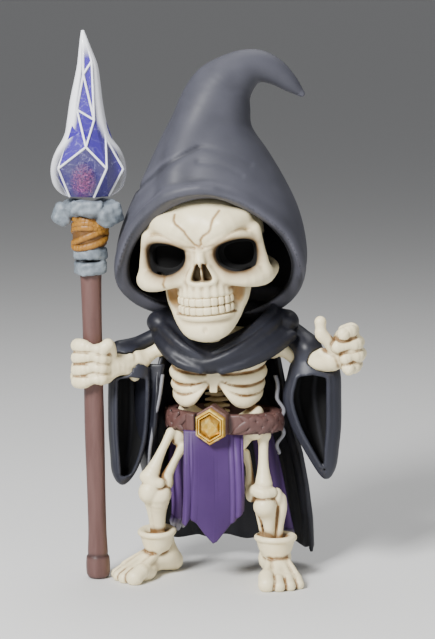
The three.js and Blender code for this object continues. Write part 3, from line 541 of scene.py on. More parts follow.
def turned(line: Line, profile: Line, sides: int, steps: int,
           wobble: Callable[[Array, Array], Array]) -> Skin:
    """A round body on a straight axis.

    Args:
        line: the two ends of its axis, the first at height 0.
        profile: heights along the axis and radii; a smooth run goes through them.
        sides: corners of a ring.
        steps: rings between two rows of the profile.
        wobble: change of the radius at an angle and height.

    Returns:
        Its closed surface.
    """
    foot, top = np.asarray(line[0], float), np.asarray(line[1], float)
    rows = smooth_line(profile, steps)
    angle = 2 * math.pi * np.arange(sides) / sides
    z, r = np.meshgrid(rows[:, 0], angle, indexing="ij")[0], np.repeat(rows[:, 1:2], sides, 1)
    turn = np.repeat(angle[None], len(rows), 0)
    r = r + wobble(turn, z)
    share = (z - foot[2]) / (top[2] - foot[2])
    points = np.stack([foot[0] + (top[0] - foot[0]) * share + r * np.cos(turn),
                       foot[1] + (top[1] - foot[1]) * share + r * np.sin(turn), z], -1).reshape(-1, 3)
    number = np.arange(len(points)).reshape(len(rows), sides)
    near = np.roll(number, -1, axis=1)
    ends = [points[number[0]].mean(0), points[number[-1]].mean(0)]
    low, high = len(points), len(points) + 1
    caps = np.concatenate([np.stack([near[0], number[0], np.full(sides, low)], 1),
                           np.stack([number[-1], near[-1], np.full(sides, high)], 1)])
    return outward(Skin(np.vstack([points, ends]), [ring_faces(number), caps], {}))


def linked(name: str, data: bpy.types.ID) -> bpy.types.Object:
    """A new object of the scene that shows some data."""
    piece = bpy.data.objects.new(name, data)
    bpy.context.scene.collection.objects.link(piece)
    return piece


def as_object(name: str, skin: Skin, material: Finish, smooth: bool = True) -> bpy.types.Object:
    """Makes a mesh object of a skin, in the frame, with its values as point attributes.

    Args:
        name: the piece's name.
        skin: its surface in the figure's millimetres.
        material: its finish.
        smooth: whether its faces shade smoothly.

    Returns:
        The object, linked to the scene.
    """
    mesh = bpy.data.meshes.new(name)
    points = metres(skin.points)
    loops = np.concatenate([f.ravel() for f in skin.faces])
    sizes = np.concatenate([np.full(len(f), f.shape[1]) for f in skin.faces])
    mesh.vertices.add(len(points))
    mesh.vertices.foreach_set("co", points.astype(np.float32).ravel())
    mesh.loops.add(len(loops))
    mesh.loops.foreach_set("vertex_index", loops.astype(np.int32))
    mesh.polygons.add(len(sizes))
    mesh.polygons.foreach_set("loop_start", np.concatenate([[0], np.cumsum(sizes)[:-1]]).astype(np.int32))
    mesh.polygons.foreach_set("use_smooth", np.full(len(sizes), smooth))
    mesh.update(calc_edges=True)
    mesh.validate()
    for key, value in skin.values.items():
        layer = mesh.attributes.new(key, "FLOAT", "POINT" if len(value) == len(points) else "FACE")
        layer.data.foreach_set("value", np.asarray(value, np.float32))
    mesh.materials.append(material)
    return linked(name, mesh)


def settle(piece: bpy.types.Object, nodes: Sequence[str]) -> bpy.types.Object:
    """Fixes a finished piece to the figure's one body, hiding the solids that it stands for."""
    if nodes:
        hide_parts(*nodes)
    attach(piece, "root")
    log.info("%s: %d faces for %s", piece.name, len(piece.data.polygons), ", ".join(nodes) or "detail")
    return piece


class Tree:
    """Makes one geometry node tree, with named inputs and one output."""

    def __init__(self, name: str, inputs: dict[str, str]) -> None:
        """Starts the tree; inputs give each socket's name and kind, the geometry first."""
        self.tree = bpy.data.node_groups.new(name, "GeometryNodeTree")
        for label, kind in inputs.items():
            self.tree.interface.new_socket(label, in_out="INPUT", socket_type=f"NodeSocket{kind}")
        self.tree.interface.new_socket("Pieces", in_out="OUTPUT", socket_type="NodeSocketGeometry")
        self.given = self.node("NodeGroupInput").outputs

    def node(self, kind: str, settings: dict | None = None, values: dict | None = None) -> bpy.types.Node:
        """Makes one node from its type, its own settings, and values or output sockets for its inputs."""
        node = self.tree.nodes.new(kind)
        for key, value in (settings or {}).items():
            setattr(node, key, value)
        for key, value in (values or {}).items():
            if isinstance(value, bpy.types.NodeSocket):
                self.tree.links.new(value, node.inputs[key])
            else:
                node.inputs[key].default_value = value
        return node

    def named(self, label: str) -> bpy.types.NodeSocket:
        """A vector attribute of the guide's points."""
        return self.node("GeometryNodeInputNamedAttribute", {"data_type": "FLOAT_VECTOR"},
                         {"Name": label}).outputs[0]

    def close(self, pieces: bpy.types.NodeSocket, material: Finish) -> None:
        """Ends the tree: instances made real and given their finish."""
        real = self.node("GeometryNodeRealizeInstances", {}, {0: pieces})
        paint = self.node("GeometryNodeSetMaterial", {}, {"Geometry": real.outputs[0], "Material": material})
        self.node("NodeGroupOutput", {}, {0: paint.outputs[0]})

    def solid(self, guide: bpy.types.Object, values: dict, material: Finish) -> bpy.types.Object:
        """Runs the tree on a guide and keeps what it makes.

        Args:
            guide: the object whose mesh the tree reads; it is removed.
            values: what the tree's named inputs are set to.
            material: the finish.

        Returns:
            A plain mesh object with the guide's name.
        """
        modifier = guide.modifiers.new("tree", "NODES")
        modifier.node_group = self.tree
        for socket in self.tree.interface.items_tree:
            if socket.in_out == "INPUT" and socket.name in values:
                modifier[socket.identifier] = values[socket.name]
        mesh = bpy.data.meshes.new_from_object(guide.evaluated_get(bpy.context.evaluated_depsgraph_get()))
        name = guide.name
        bpy.data.objects.remove(guide)
        mesh.materials.clear()
        mesh.materials.append(material)
        return linked(name, mesh)


def wired(name: str, points: Array, pairs: Iterable[tuple[int, int]]) -> bpy.types.Object:
    """A guide of points in the figure's millimetres, joined by edges."""
    mesh = bpy.data.meshes.new(name)
    mesh.from_pydata([tuple(p) for p in metres(points)], list(pairs), [])
    return linked(name, mesh)


@dataclass(frozen=True)
class Strand:
    """Copies of one item set out along a line, made with geometry nodes."""

    count: int
    spread: float
    seed: int = 3
    size: float = 1.0

    def tree(self, material: Finish) -> Tree:
        """The node tree: the line, resampled, with an item on each point facing the line's own way."""
        tree = Tree("strand", {"Line": "Geometry", "Item": "Object", "Count": "Int", "Size": "Float",
                               "Spread": "Float", "Seed": "Int"})
        given = tree.given
        low, high = (tree.node("ShaderNodeMath", {"operation": way}, {0: given["Size"], 1: given["Spread"]})
                     for way in ("SUBTRACT", "ADD"))
        chance = tree.node("FunctionNodeRandomValue", {"data_type": "FLOAT"},
                           {2: low.outputs[0], 3: high.outputs[0], "Seed": given["Seed"]})
        facing = tree.node("FunctionNodeAlignRotationToVector", {"axis": "Y"},
                           {"Vector": tree.named("facing")})
        upward = tree.node("FunctionNodeAlignRotationToVector", {"axis": "Z", "pivot_axis": "Y"},
                           {"Vector": tree.named("upward"), "Rotation": facing.outputs["Rotation"]})
        girth = tree.node("ShaderNodeVectorMath", {"operation": "SCALE"},
                          {"Vector": tree.named("girth"), "Scale": chance.outputs[1]})
        curve = tree.node("GeometryNodeMeshToCurve", {}, {0: given["Line"]})
        even = tree.node("GeometryNodeResampleCurve", {}, {"Curve": curve.outputs[0],
                                                           "Count": given["Count"]})
        item = tree.node("GeometryNodeObjectInfo", {}, {"Object": given["Item"]})
        set_out = tree.node("GeometryNodeInstanceOnPoints", {},
                            {"Points": even.outputs[0], "Instance": item.outputs["Geometry"],
                             "Rotation": upward.outputs["Rotation"], "Scale": girth.outputs["Vector"]})
        tree.close(set_out.outputs[0], material)
        return tree

    def build(self, name: str, line: Array, facing: Array, upward: Array, item: Skin,
              material: Finish, girth: Array | None = None) -> bpy.types.Object:
        """Sets the items out.

        Args:
            name: the piece's name.
            line: points of the line, in the figure's millimetres.
            facing: where an item's Y axis points at each of them.
            upward: where its Z axis points.
            item: the item's surface, in millimetres about its own middle.
            material: the finish.
            girth: size of an item along its own axes at each point.

        Returns:
            The finished piece.
        """
        guide = wired(name, line, [(i, i + 1) for i in range(len(line) - 1)])
        sizes = np.ones((len(line), 3)) if girth is None else girth
        for label, rows in (("facing", facing), ("upward", upward), ("girth", sizes)):
            layer = guide.data.attributes.new(label, "FLOAT_VECTOR", "POINT")
            layer.data.foreach_set("vector", np.asarray(rows, np.float32).ravel())
        sample = as_object(name + "_item", Skin(item.points - SHIFT, item.faces, item.values), material)
        values = {"Item": sample, "Count": self.count, "Size": self.size, "Spread": self.spread,
                  "Seed": self.seed}
        piece = self.tree(material).solid(guide, values, material)
        bpy.data.objects.remove(sample)
        return piece


class Wire:
    """A shader value that adds, multiplies and compares as a number does."""

    def __init__(self, desk: "Desk", socket: bpy.types.NodeSocket) -> None:
        """Wraps one output socket."""
        self.desk = desk
        self.socket = socket

    def maths(self, operation: str, *others: "Wire | float", clamp: bool = False) -> "Wire":
        """One Math node fed by this value and others."""
        values = {i: v for i, v in enumerate((self, *others))}
        return self.desk.node("ShaderNodeMath", {"operation": operation, "use_clamp": clamp}, values).wire()

    def __add__(self, other: "Wire | float") -> "Wire":
        """Sum."""
        return self.maths("ADD", other)

    def __mul__(self, other: "Wire | float") -> "Wire":
        """Product."""
        return self.maths("MULTIPLY", other)

    def __sub__(self, other: "Wire | float") -> "Wire":
        """Difference."""
        return self.maths("SUBTRACT", other)

    def __rsub__(self, other: float) -> "Wire":
        """A number less this value."""
        return (self * -1.0) + other

    __radd__ = __add__
    __rmul__ = __mul__

    def ramp(self, low: float, high: float) -> "Wire":
        """0 below low, 1 above high and smooth between."""
        return self.desk.node("ShaderNodeMapRange", {"interpolation_type": "SMOOTHSTEP"},
                              {"Value": self, "From Min": low, "From Max": high}).wire("Result")

    def clamped(self) -> "Wire":
        """Held between 0 and 1."""
        return self.maths("ADD", 0.0, clamp=True)


@dataclass
class Made:
    """A node that was just made."""

    desk: "Desk"
    node: bpy.types.Node

    def wire(self, output: int | str = 0) -> Wire:
        """One of its outputs."""
        return Wire(self.desk, self.node.outputs[output])


class Desk:
    """Makes one material's nodes."""

    def __init__(self, name: str) -> None:
        """Starts a material with its shader and output."""
        self.material = bpy.data.materials.new(name)
        self.material.use_nodes = True
        self.tree = self.material.node_tree
        self.shader = self.tree.nodes["Principled BSDF"]

    def node(self, kind: str, settings: dict | None = None, values: dict | None = None) -> Made:
        """Makes one node.

        Args:
            kind: the node's type.
            settings: its own settings, set first.
            values: numbers, colours or wires for its input sockets, by name or number.

        Returns:
            The node.
        """
        made = self.tree.nodes.new(kind)
        for key, value in (settings or {}).items():
            setattr(made, key, value)
        for key, value in (values or {}).items():
            self.feed(made.inputs[key], value)
        return Made(self, made)

    def feed(self, socket: bpy.types.NodeSocket, value: object) -> None:
        """Sets or links one input socket."""
        if isinstance(value, Wire):
            self.tree.links.new(value.socket, socket)
        elif isinstance(value, (tuple, list)) and len(value) == 3 and socket.type == "RGBA":
            socket.default_value = (*value, 1)
        else:
            socket.default_value = value

    def place(self) -> Wire:
        """Object coordinates."""
        return self.node("ShaderNodeTexCoord").wire("Object")

    def stretched(self, scale: Point) -> Wire:
        """Object coordinates scaled along each axis."""
        return self.node("ShaderNodeMapping", {}, {"Vector": self.place(), "Scale": tuple(scale)}).wire()

    def noise(self, scale: float, detail: float = 3.0, rough: float = 0.5, at: Wire | None = None) -> Wire:
        """Soft random values, about scale spots to the metre."""
        return self.node("ShaderNodeTexNoise", {}, {"Vector": at or self.place(), "Scale": scale,
                                                    "Detail": detail, "Roughness": rough}).wire(0)

    def value(self, name: str) -> Wire:
        """A point value of the mesh."""
        return self.node("ShaderNodeAttribute", {"attribute_name": name}).wire("Fac")

    def mixed(self, share: Wire | float, one: Wire | Point, two: Wire | Point) -> Wire:
        """Two colours mixed."""
        values = {0: share, 6: one, 7: two}
        return self.node("ShaderNodeMix", {"data_type": "RGBA"}, values).wire(2)

    def bump(self, height: Wire, strength: float, depth: float) -> Wire:
        """A surface direction roughened by a height; depth is in metres."""
        values = {"Height": height, "Strength": strength, "Distance": depth}
        return self.node("ShaderNodeBump", {}, values).wire()

    def finish(self, **sockets: object) -> Finish:
        """Feeds the shader, socket names written with underscores, and returns the material."""
        for key, value in sockets.items():
            self.feed(self.shader.inputs[key.replace("_", " ")], value)
        return self.material


@dataclass(frozen=True)
class Bone:
    """Cream paint over moulded vinyl, with a brown wash in every hollow, deepened there as painted shade."""

    cream: Point = (0.93, 0.82, 0.53)
    shade: Point = (0.72, 0.59, 0.32)
    # brown of the wash, which also stands in as painted shade in the hollows
    wash: Point = (0.20, 0.098, 0.026)
    # ochre of the cracks, also used as painted shade in the cheek hollows
    ochre: Point = (0.27, 0.13, 0.015)
    dark: Point = (0.0012, 0.001, 0.001)

    def material(self) -> Finish:
        """The finish."""
        desk = Desk("bone")
        cloud = desk.noise(260.0)
        speck = desk.noise(1800.0, 2.0)
        tone = desk.mixed(cloud.ramp(0.35, 0.75) * 0.3, self.cream, self.shade)
        # brown in the hollows: the paint's own wash together with painted shade
        wash = (desk.value("wash") * (0.75 + cloud * 0.5) - 0.06).clamped()
        brown = desk.mixed(wash, tone, self.wash)
        warm = desk.mixed(desk.value("ochre"), brown, self.ochre)
        pit = desk.value("pit")
        colour = desk.mixed(pit, warm, self.dark)
        rough = (0.38 + cloud * 0.16 + wash * 0.25 + pit * 0.6).clamped()
        return desk.finish(Base_Color=colour, Roughness=rough, Coat_Weight=((1.0 - pit) * 0.12).clamped(),
                           Coat_Roughness=0.35, Normal=desk.bump(speck * 0.4 + cloud * 0.6, 0.25, 0.0002))


@dataclass(frozen=True)
class Cloth:
    """Satin paint on moulded cloth, dry-brushed paler on the crests as a painted highlight, with painted
    shade in the folds and inside.
    """

    name: str
    tone: Point
    # crest: the dry-brushed paler colour of the crests, also a painted highlight; deep: painted shade in the
    # folds and inside
    crest: Point
    deep: Point
    gloss: float = 0.48

    def material(self) -> Finish:
        """The finish."""
        desk = Desk(self.name)
        cloud = desk.noise(120.0, 4.0)
        weave = desk.noise(2600.0, 2.0)
        fold = desk.value("wash")
        # painted highlight where the fold value is below zero, painted shade where it is above
        tone = desk.mixed((fold * -1.0 + cloud * 0.35 - 0.1).clamped(), self.tone, self.crest)
        tone = desk.mixed((fold * 0.9).clamped(), tone, self.deep)
        # paler where the piece asks: a painted highlight on the torn hems, and the lapel strips
        tone = desk.mixed(desk.value("pale"), tone, (0.60, 0.60, 0.65))
        # painted shade on the inner faces of the hood, the sleeves and the cape
        colour = desk.mixed(desk.value("inside"), tone, self.deep)
        rough = (cloud * 0.16 + (self.gloss - 0.08) + desk.value("inside") * 0.4).clamped()
        return desk.finish(Base_Color=colour, Roughness=rough, IOR=1.38, Coat_Weight=0.05, Coat_Roughness=0.4,
                           Normal=desk.bump(weave * 0.5 + cloud * 0.5, 0.18, 0.0002))


# the hood's cloth is the robe's cloth painted lighter, as painted light from above; the rest of the robe is
# the dark copy
LIT_HOOD = Cloth("robe_hood", (0.046, 0.047, 0.060), (0.13, 0.13, 0.165), (0.004, 0.004, 0.006), 0.60)
ROBE = Cloth("robe", (0.010, 0.0105, 0.016), (0.030, 0.032, 0.046), (0.0015, 0.0015, 0.002), 0.45)
PURPLE = Cloth("purple_cloth", (0.043, 0.014, 0.088), (0.12, 0.058, 0.21), (0.008, 0.003, 0.02), 0.52)


@dataclass(frozen=True)
class Hide:
    """Leather or wood: a grained, slightly worn brown."""

    name: str
    tone: Point
    light: Point
    dark: Point
    grain: Point = (500.0, 500.0, 60.0)
    gloss: float = 0.5

    def material(self) -> Finish:
        """The finish."""
        desk = Desk(self.name)
        strand = desk.noise(1.0, 4.0, 0.6, desk.stretched(self.grain))
        cloud = desk.noise(180.0)
        wash = desk.value("wash")
        tone = desk.mixed((strand * 1.3 - 0.3).clamped(), self.tone, self.light)
        # dark with painted shade in crevices, grooves and between parts, and at random worn spots
        colour = desk.mixed((wash + cloud.ramp(0.55, 0.9) * 0.35).clamped(), tone, self.dark)
        return desk.finish(Base_Color=colour, Roughness=(strand * 0.25 + (self.gloss - 0.12)).clamped(),
                           Normal=desk.bump(strand, 0.5, 0.0003))


LEATHER = Hide("belt_leather", (0.075, 0.032, 0.028), (0.15, 0.075, 0.065), (0.012, 0.005, 0.005))
WOOD = Hide("staff_wood", (0.085, 0.037, 0.031), (0.16, 0.083, 0.074), (0.02, 0.008, 0.008))
OCHRE = Hide("ochre_wrap", (0.25, 0.100, 0.007), (0.44, 0.215, 0.022), (0.040, 0.013, 0.004))


@dataclass(frozen=True)
class Stone:
    """Dry-brushed blue-grey stone."""

    tone: Point = (0.10, 0.122, 0.145)
    light: Point = (0.27, 0.31, 0.35)
    dark: Point = (0.02, 0.023, 0.028)

    def material(self) -> Finish:
        """The finish."""
        desk = Desk("stone")
        cloud = desk.noise(300.0, 5.0, 0.65)
        pores = desk.noise(1400.0, 3.0)
        tone = desk.mixed((cloud * 2.0 - 0.6).clamped(), self.tone, self.light)
        # dark with painted shade in the crevices, and in random pores
        colour = desk.mixed((desk.value("wash") + pores.ramp(0.6, 0.8) * 0.3).clamped(), tone, self.dark)
        return desk.finish(Base_Color=colour, Roughness=(0.4 + cloud * 0.25).clamped(),
                           Normal=desk.bump(cloud * 0.7 + pores * 0.3, 0.5, 0.0004))


@dataclass(frozen=True)
class Gold:
    """Worn gold paint with painted shade in its corners."""

    tone: Point = (0.83, 0.50, 0.07)
    light: Point = (1, 0.78, 0.28)
    dark: Point = (0.20, 0.10, 0.02)

    def material(self) -> Finish:
        """The finish."""
        desk = Desk("gold")
        cloud = desk.noise(500.0, 3.0)
        tone = desk.mixed(cloud.ramp(0.4, 0.7), self.tone, self.light)
        # dark with painted shade in the corners
        colour = desk.mixed(desk.value("wash"), tone, self.dark)
        return desk.finish(Base_Color=colour, Metallic=0.75, Roughness=(0.26 + cloud * 0.15).clamped(),
                           Normal=desk.bump(cloud, 0.2, 0.0001))


@dataclass(frozen=True)
class Glass:
    """Cast crystal: clear violet facets with milky veins, with a painted white reflection along its edges."""

    violet: Point = (0.010, 0.003, 0.085)
    blue: Point = (0.050, 0.022, 0.34)
    milk: Point = (0.88, 0.89, 0.94)
    rose: Point = (0.10, 0.008, 0.070)

    def core(self) -> Finish:
        """The coloured heart: facets veined with white, with a faint painted glow."""
        desk = Desk("crystal_heart")
        shade = desk.value("shade")
        cloud = desk.noise(240.0, 4.0)
        tone = desk.mixed((shade * 0.9 + cloud * 0.3 - 0.1).clamped(), self.violet, self.blue)
        vein = ((cloud - 0.5) * (cloud - 0.5) * -2600.0 + 0.24).clamped()
        colour = desk.mixed(vein, tone, (0.50, 0.48, 0.85))
        # faint emission: a painted glow
        return desk.finish(Base_Color=colour, Roughness=0.28, Coat_Weight=0.25, Coat_Roughness=0.1,
                           Emission_Color=colour, Emission_Strength=0.05)

    def haze(self) -> Finish:
        """The rose speckles, thinning out from their middle."""
        desk = Desk("crystal_rose")
        speck = desk.noise(1900.0, 5.0, 0.7)
        colour = desk.mixed(speck.ramp(0.52, 0.70), self.rose, (0.48, 0.15, 0.38))
        return desk.finish(Base_Color=colour, Roughness=0.4,
                           Alpha=(speck.ramp(0.44, 0.57) * desk.value("frost")).clamped())

    def shell(self) -> Finish:
        """The clear outside, with a painted milky reflection where it is seen edge on."""
        desk = Desk("crystal_shell")
        frost = desk.value("frost")
        cloud = desk.noise(200.0, 3.0)
        colour = desk.mixed(cloud, self.milk, (0.93, 0.94, 0.99))
        # alpha follows the painted milky reflection on the flanks
        haze = (frost * 0.95 + cloud * 0.04).clamped()
        return desk.finish(Base_Color=colour, Roughness=(0.08 + frost * 0.25).clamped(), IOR=1.3,
                           Alpha=haze, Coat_Weight=0.3, Coat_Roughness=0.04)


BONE_VOXEL = 0.34
BONE_CREVICES = (0.5, 1.2, 2.4)  # how far out a bone is sounded for hollows


def bone_skin(form: Form, low: Point, high: Point, voxel: float = BONE_VOXEL, gain: float = 2.9) -> Skin:
    """Meshes a bone and works out where its brown wash and the painted shade of its hollows gather."""
    skin = skinned(form, low, high, voxel)
    # how enclosed each point is, which sets both the brown wash and the painted shade in the hollows
    wash = crevice(form, skin.points, BONE_CREVICES)
    skin.values = {"wash": np.clip((wash - 0.09) * gain, 0, 1)}
    return skin


@dataclass
class Skull:
    """The head: cranium, brows, cheekbones, jaw and teeth, its own eye line near height 0."""

    place: Place = Place((0, -5, 96.4), yaw=-8.0, roll=-4.0)
    socket: Line = ((4.5, 2.6), (5.4, 4.5), (7.8, 5.6), (11, 6.1), (14.4, 5.9), (15.8, 4.4),
                    (16, 1.2), (14.9, -1.6), (12, -2.7), (8.6, -2.5), (6.1, -1.1), (4.9, 0.6))
    socket_middle: Point = (10.2, 1.6)
    arch: Point = (0.3, -11.4)
    arch_radius: float = 8.2
    smile: float = 0.36
    bite: float = 7.6
    tooth_widths: Sequence[float] = (1, 0.86, 0.74, 0.72, 0.72)
    tooth_sizes: Sequence[float] = (1.04, 0.88, 0.78, 0.76, 0.74)
    tooth_turn: float = 0.335
    nostril: Line = ((0.5, 0.1), (0.35, -2.4), (0.4, -4.7), (1.2, -5.1), (2.5, -4.9), (2.9, -3.9),
                     (2.1, -1.6), (1.1, 0.1))
    cracks: Sequence[Line] = (
        ((-6.5, 14.6), (-6.6, 13.2), (-6, 12.1), (-4.8, 11), (-3.6, 9.8), (-3.2, 8.9), (-2.5, 7.8),
         (-1.1, 5.8), (0.2, 5.1)),
        ((6.5, 15), (4.8, 12.9), (4.4, 11.6), (4.0, 10.0), (3.3, 9.1), (1.7, 8.2), (0.8, 7), (0.9, 5.7),
         (0.2, 5.1)),
        ((-10.6, -2.9), (-10.8, -4.2), (-11.3, -5.4), (-11, -6.4)))
    crease: Line = ((14.2, 8.6), (12, 9.1), (10, 8.6), (7.5, 7.1), (5.5, 5.9), (3.8, 5.1), (1.3, 4.7))

    def base(self) -> Form:
        """The head's large masses, run together."""
        return joined([
            ball((0, 2, 6.5), (16.6, 18, 17)),
            ball((0, -8.0, 10.0), (16, 11.6, 9.6)),
            ball((0, -6.6, 1.4), (17, 10.4, 7.4)),
            ball((0, -10.6, -3.2), (10.2, 7.8, 5)),
            ball((0.3, -10.9, -8.4), (8.2, 8.4, 4.8)),
            *both(rod, [(15.4, -12, 8.6), (16.8, -11.2, 2), (17.2, -10.4, -3.6)], [2.2, 1.9, 2.4]),
            *both(rod, [(6, -16.2, -4.2), (12.4, -15.4, -5.2), (16.9, -11.4, -5.3), (18.8, -5, -4.6),
                        (19, 0, -3.4), (16.4, 4, -2)], [1.9, 2.4, 2.6, 2, 1.6, 1.6]),
            *both(ball, (9, -7.6, -9.4), (3, 5.4, 4.6)),
        ], 2.4)

    def jaw(self) -> Form:
        """The lower jaw."""
        return joined([
            ball((0.2, -10.9, -15), (8.2, 8.6, 3.6)),
            ball((0.2, -12.2, -18.6), (6.9, 6.4, 4.1)),
            *both(rod, [(12.4, -2, -3), (11.2, -4.8, -8), (9.5, -7.8, -12.6), (6.9, -11.4, -17),
                        (3.6, -14.8, -19.6), (0, -15.4, -19.9)], [1.9, 1.7, 1.9, 2.4, 2.8, 2.8]),
        ], 1.8)

    def bulges(self) -> list[Form]:
        """The frowning swellings over the eyes and the broad root of the nose."""
        return [
            *both(rod, [(2.8, -17, 8.2), (6.8, -17.2, 10.6), (12.4, -13.4, 12.8)], [1.9, 3.1, 2.4]),
            ball((0.2, -16.4, 1.4), (4.6, 2.7, 4.4)),
        ]

    def brows(self) -> list[Form]:
        """The rolled rims of the eye sockets and of the nose, and the bridge."""
        return [
            *both(rod, [(2.4, -18.3, 4.3), (5.2, -18.6, 5.7), (8.6, -18, 7.3), (12.8, -15.8, 7.7),
                        (16, -13, 5.9)], [0.9, 1.35, 1.5, 1.45, 1.2]),
            *both(rod, [(3.6, -18, 2.6), (4.4, -17.8, 0.2), (7, -17.4, -2.7), (11.4, -16.2, -3.9),
                        (15.4, -13.6, -3)], [0.8, 0.9, 1.3, 1.5, 1.4]),
            rod([(0.15, -18, 4.4), (0.2, -19, 2.6), (0.3, -19.6, 0.8)], [0.9, 1.4, 1.75]),
            rod([(-2, -19, -0.8), (-3.4, -18.6, -3.6), (-3, -18.7, -5.4), (0.3, -19.3, -5.9),
                 (3.6, -18.7, -5.4), (4, -18.6, -3.6), (2.6, -19, -0.8)],
                [0.8, 0.8, 0.8, 0.8, 0.8, 0.8, 0.8]),
        ]

    def sockets(self, back: float = -11.5, size: float = 1.0) -> list[Form]:
        """The eye sockets, as deep as their back's Y says, and drawn in about their middles."""
        middle = np.array(self.socket_middle)
        return both(prism, middle + size * (np.array(self.socket) - middle), -40, back)

    def nostrils(self) -> list[Form]:
        """The two halves of the nose opening."""
        return both(prism, self.nostril, -40, -15.6, middle=0.3)

    def hollows(self) -> list[Form]:
        """The hollows between the teeth and the jaw's branches."""
        return both(rod, [(10.9, -13.2, -8.6), (10.1, -13.4, -11), (9.3, -13.4, -13)], [2.3, 2.1, 1],
                    middle=0.5)

    def arc(self, turn: Array, height: float, out: float = 0.0) -> Array:
        """Points on the teeth's arch at angles from the middle, in radians."""
        (x, y), reach = self.arch, self.arch_radius + out
        heights = height + self.smile * turn ** 2
        return np.stack([x + reach * np.sin(turn), y - reach * np.cos(turn), heights], 1)

    def tooth_turns(self) -> Array:
        """Angles of the teeth: broad ones in front, narrower at the sides."""
        widths = np.array(self.tooth_widths)
        places = (np.cumsum(widths) - widths / 2) * self.tooth_turn
        return np.concatenate([-places[::-1], places])

    def gums(self) -> list[Form]:
        """Soft ridges over the roots of the teeth, and the gums' edges."""
        turns = self.tooth_turns()
        low, high = self.arc(turns, -9.2, -0.75), self.arc(turns * 0.97, -6.2, -0.8)
        edge = np.linspace(turns[0], turns[-1], 12)
        return [*[rod([a, b], [1.15, 0.75], 1) for a, b in zip(low, high)],
                rod(self.arc(edge, -15.8, -0.7), [0.9] * 12, 1)]

    def form(self) -> Form:
        """The whole head without its teeth."""
        temples = both(ball, (21.2, -4, 6), (4.4, 8, 8))
        gaps = both(ball, (16.4, 0, -8.6), (3.2, 5.4, 4.2))
        head = joined([self.base(), self.jaw()], 1.4)
        head = carved(head, [*temples, *gaps], 2.0)
        head = carved(head, self.hollows(), 1.2)
        head = joined([head, *self.bulges()], 2.6)
        head = joined([joined([head, *self.brows()], 1.1), *self.gums()], 0.8)
        flanks = [rod([(0.2 + s * 3.6, -20.2, 3.4), (0.3 + s * 4.6, -20.2, -0.6), (0.3 + s * 5.8, -20.8, -4)],
                      [1.7, 1.8, 1.5]) for s in (-1.0, 1.0)]
        head = carved(head, flanks, 1.2)
        head = carved(head, [*self.sockets(), *self.sockets(-7.6, 0.78)], 1.5)
        band = prism([(-9, -10.0), (-9, -15.0), (0.3, -15.2), (9.6, -15), (9.6, -10)], -40, -12.0, 1)
        x, y = self.arch
        bite = Form(lambda p: np.maximum(band(p), self.bite - np.hypot(p[:, 0] - x, p[:, 1] - y)),
                    band.centre, band.reach)
        head = carved(carved(head, [bite], 0.4), self.nostrils(), 0.5)
        head = carved(head, [ball((0.3, -19.6, -19.4), (0.6, 1.1, 0.9))], 0.8)
        head = scored(head, self.cracks, 0.28, 0.3, -9.0)
        return scored(head, self.creases(), 0.30, 0.5, -9.0).placed(self.place)

    def creases(self) -> list[list[Point]]:
        """The creases over both brows."""
        return [[(s * x, z) for x, z in smooth_line(self.crease, 3)] for s in (-1, 1)]

    def paint(self, form: Form, skin: Skin) -> None:
        """Black in the sockets, brown round them and in the cracks, brown wash with painted shade in the
        hollows and creases, painted shade on the flanks of the nose, and ochre painted shade in the cheek
        hollows.
        """
        p = self.place.into(skin.points)
        eyes = np.minimum(*[f(p) for f in self.sockets()])
        through = np.minimum(*[f(p) for f in self.sockets(14.0)])
        nose = np.minimum(*[f(p) for f in self.nostrils()])
        front = p[:, 1] < -8
        # brown wash with painted shade in every hollow of the head
        wash = np.clip((crevice(form, skin.points, BONE_CREVICES) - 0.10) * 2.2, 0, 1)
        wash *= 1 - 0.6 * np.exp(-((np.abs(p[:, 0]) - 14) / 2.5) ** 2 - ((p[:, 2] - 9) / 2.0) ** 2)
        beside = np.maximum(eyes, 0)
        rim = fading(beside, 2.3) * 0.85 + 0.15 * fading(beside, 0.6)
        cracks = fading(seen_gap(p, self.cracks), 0.36) * 0.85
        # brown along the brow creases: painted shade in the grooves, with the wash
        creases = fading(seen_gap(p, self.creases()), 0.5) * 0.6
        glabella = 0.7 * fading(np.hypot(p[:, 0] - 0.3, p[:, 2] - 5.0), 1.3)
        # painted shade on both flanks of the nose's bridge
        flank = 0.75 * np.exp(-((np.abs(p[:, 0] - 0.2) - 3.4) / 1.3) ** 2 - ((p[:, 2] - 2.2) / 2.8) ** 2)
        inner = np.clip(1 - (nose + 0.3) / 0.8, 0, 1)
        marks = np.max([rim, cracks, creases, glabella, flank, inner], 0) * front
        hollow = np.min([f(p) for f in self.hollows()], 0)
        skin.values = {
            "wash": np.clip(np.maximum(wash, marks), 0, 1),
            "pit": np.max([self.depth(p, through, -18.0, 0.45), 0.6 * self.depth(p, nose, -19.4, 0.5),
                           0.62 * fading(beside, 0.85) * front], 0),
            # ochre: painted shade in the cheek hollows, and the cracks' own ochre
            "ochre": np.maximum(np.clip(1 - (hollow - 0.1) / 1.1, 0, 1) * 0.95, 0.6 * cracks) * front,
        }

    def depth(self, p: Array, gap: Array, front: float, start: float) -> Array:
        """How far points on the walls of an opening lie behind the face, from 0 to 1."""
        face = front + 0.02 * p[:, 0] ** 2
        behind = np.clip((p[:, 1] - face - start) / 1.2, 0, 1)
        return behind * np.clip((1.9 - gap) / 0.5, 0, 1) * (p[:, 1] < 8)

    def tooth(self) -> Skin:
        """One tooth, its face towards -Y."""
        half = np.array([1.34, 1, 1.36])
        form = slab((0, 0, 0), half, 0.92)
        skin = skinned(form, -half, half, 0.36 / FINE)
        # darker towards its edges: painted shade between neighbouring teeth
        edge = np.maximum(np.abs(skin.points[:, 0]) / half[0], np.abs(skin.points[:, 2]) / half[2])
        skin.values = {"wash": np.clip((edge - 0.74) * 3.4, 0, 0.85)}
        return skin

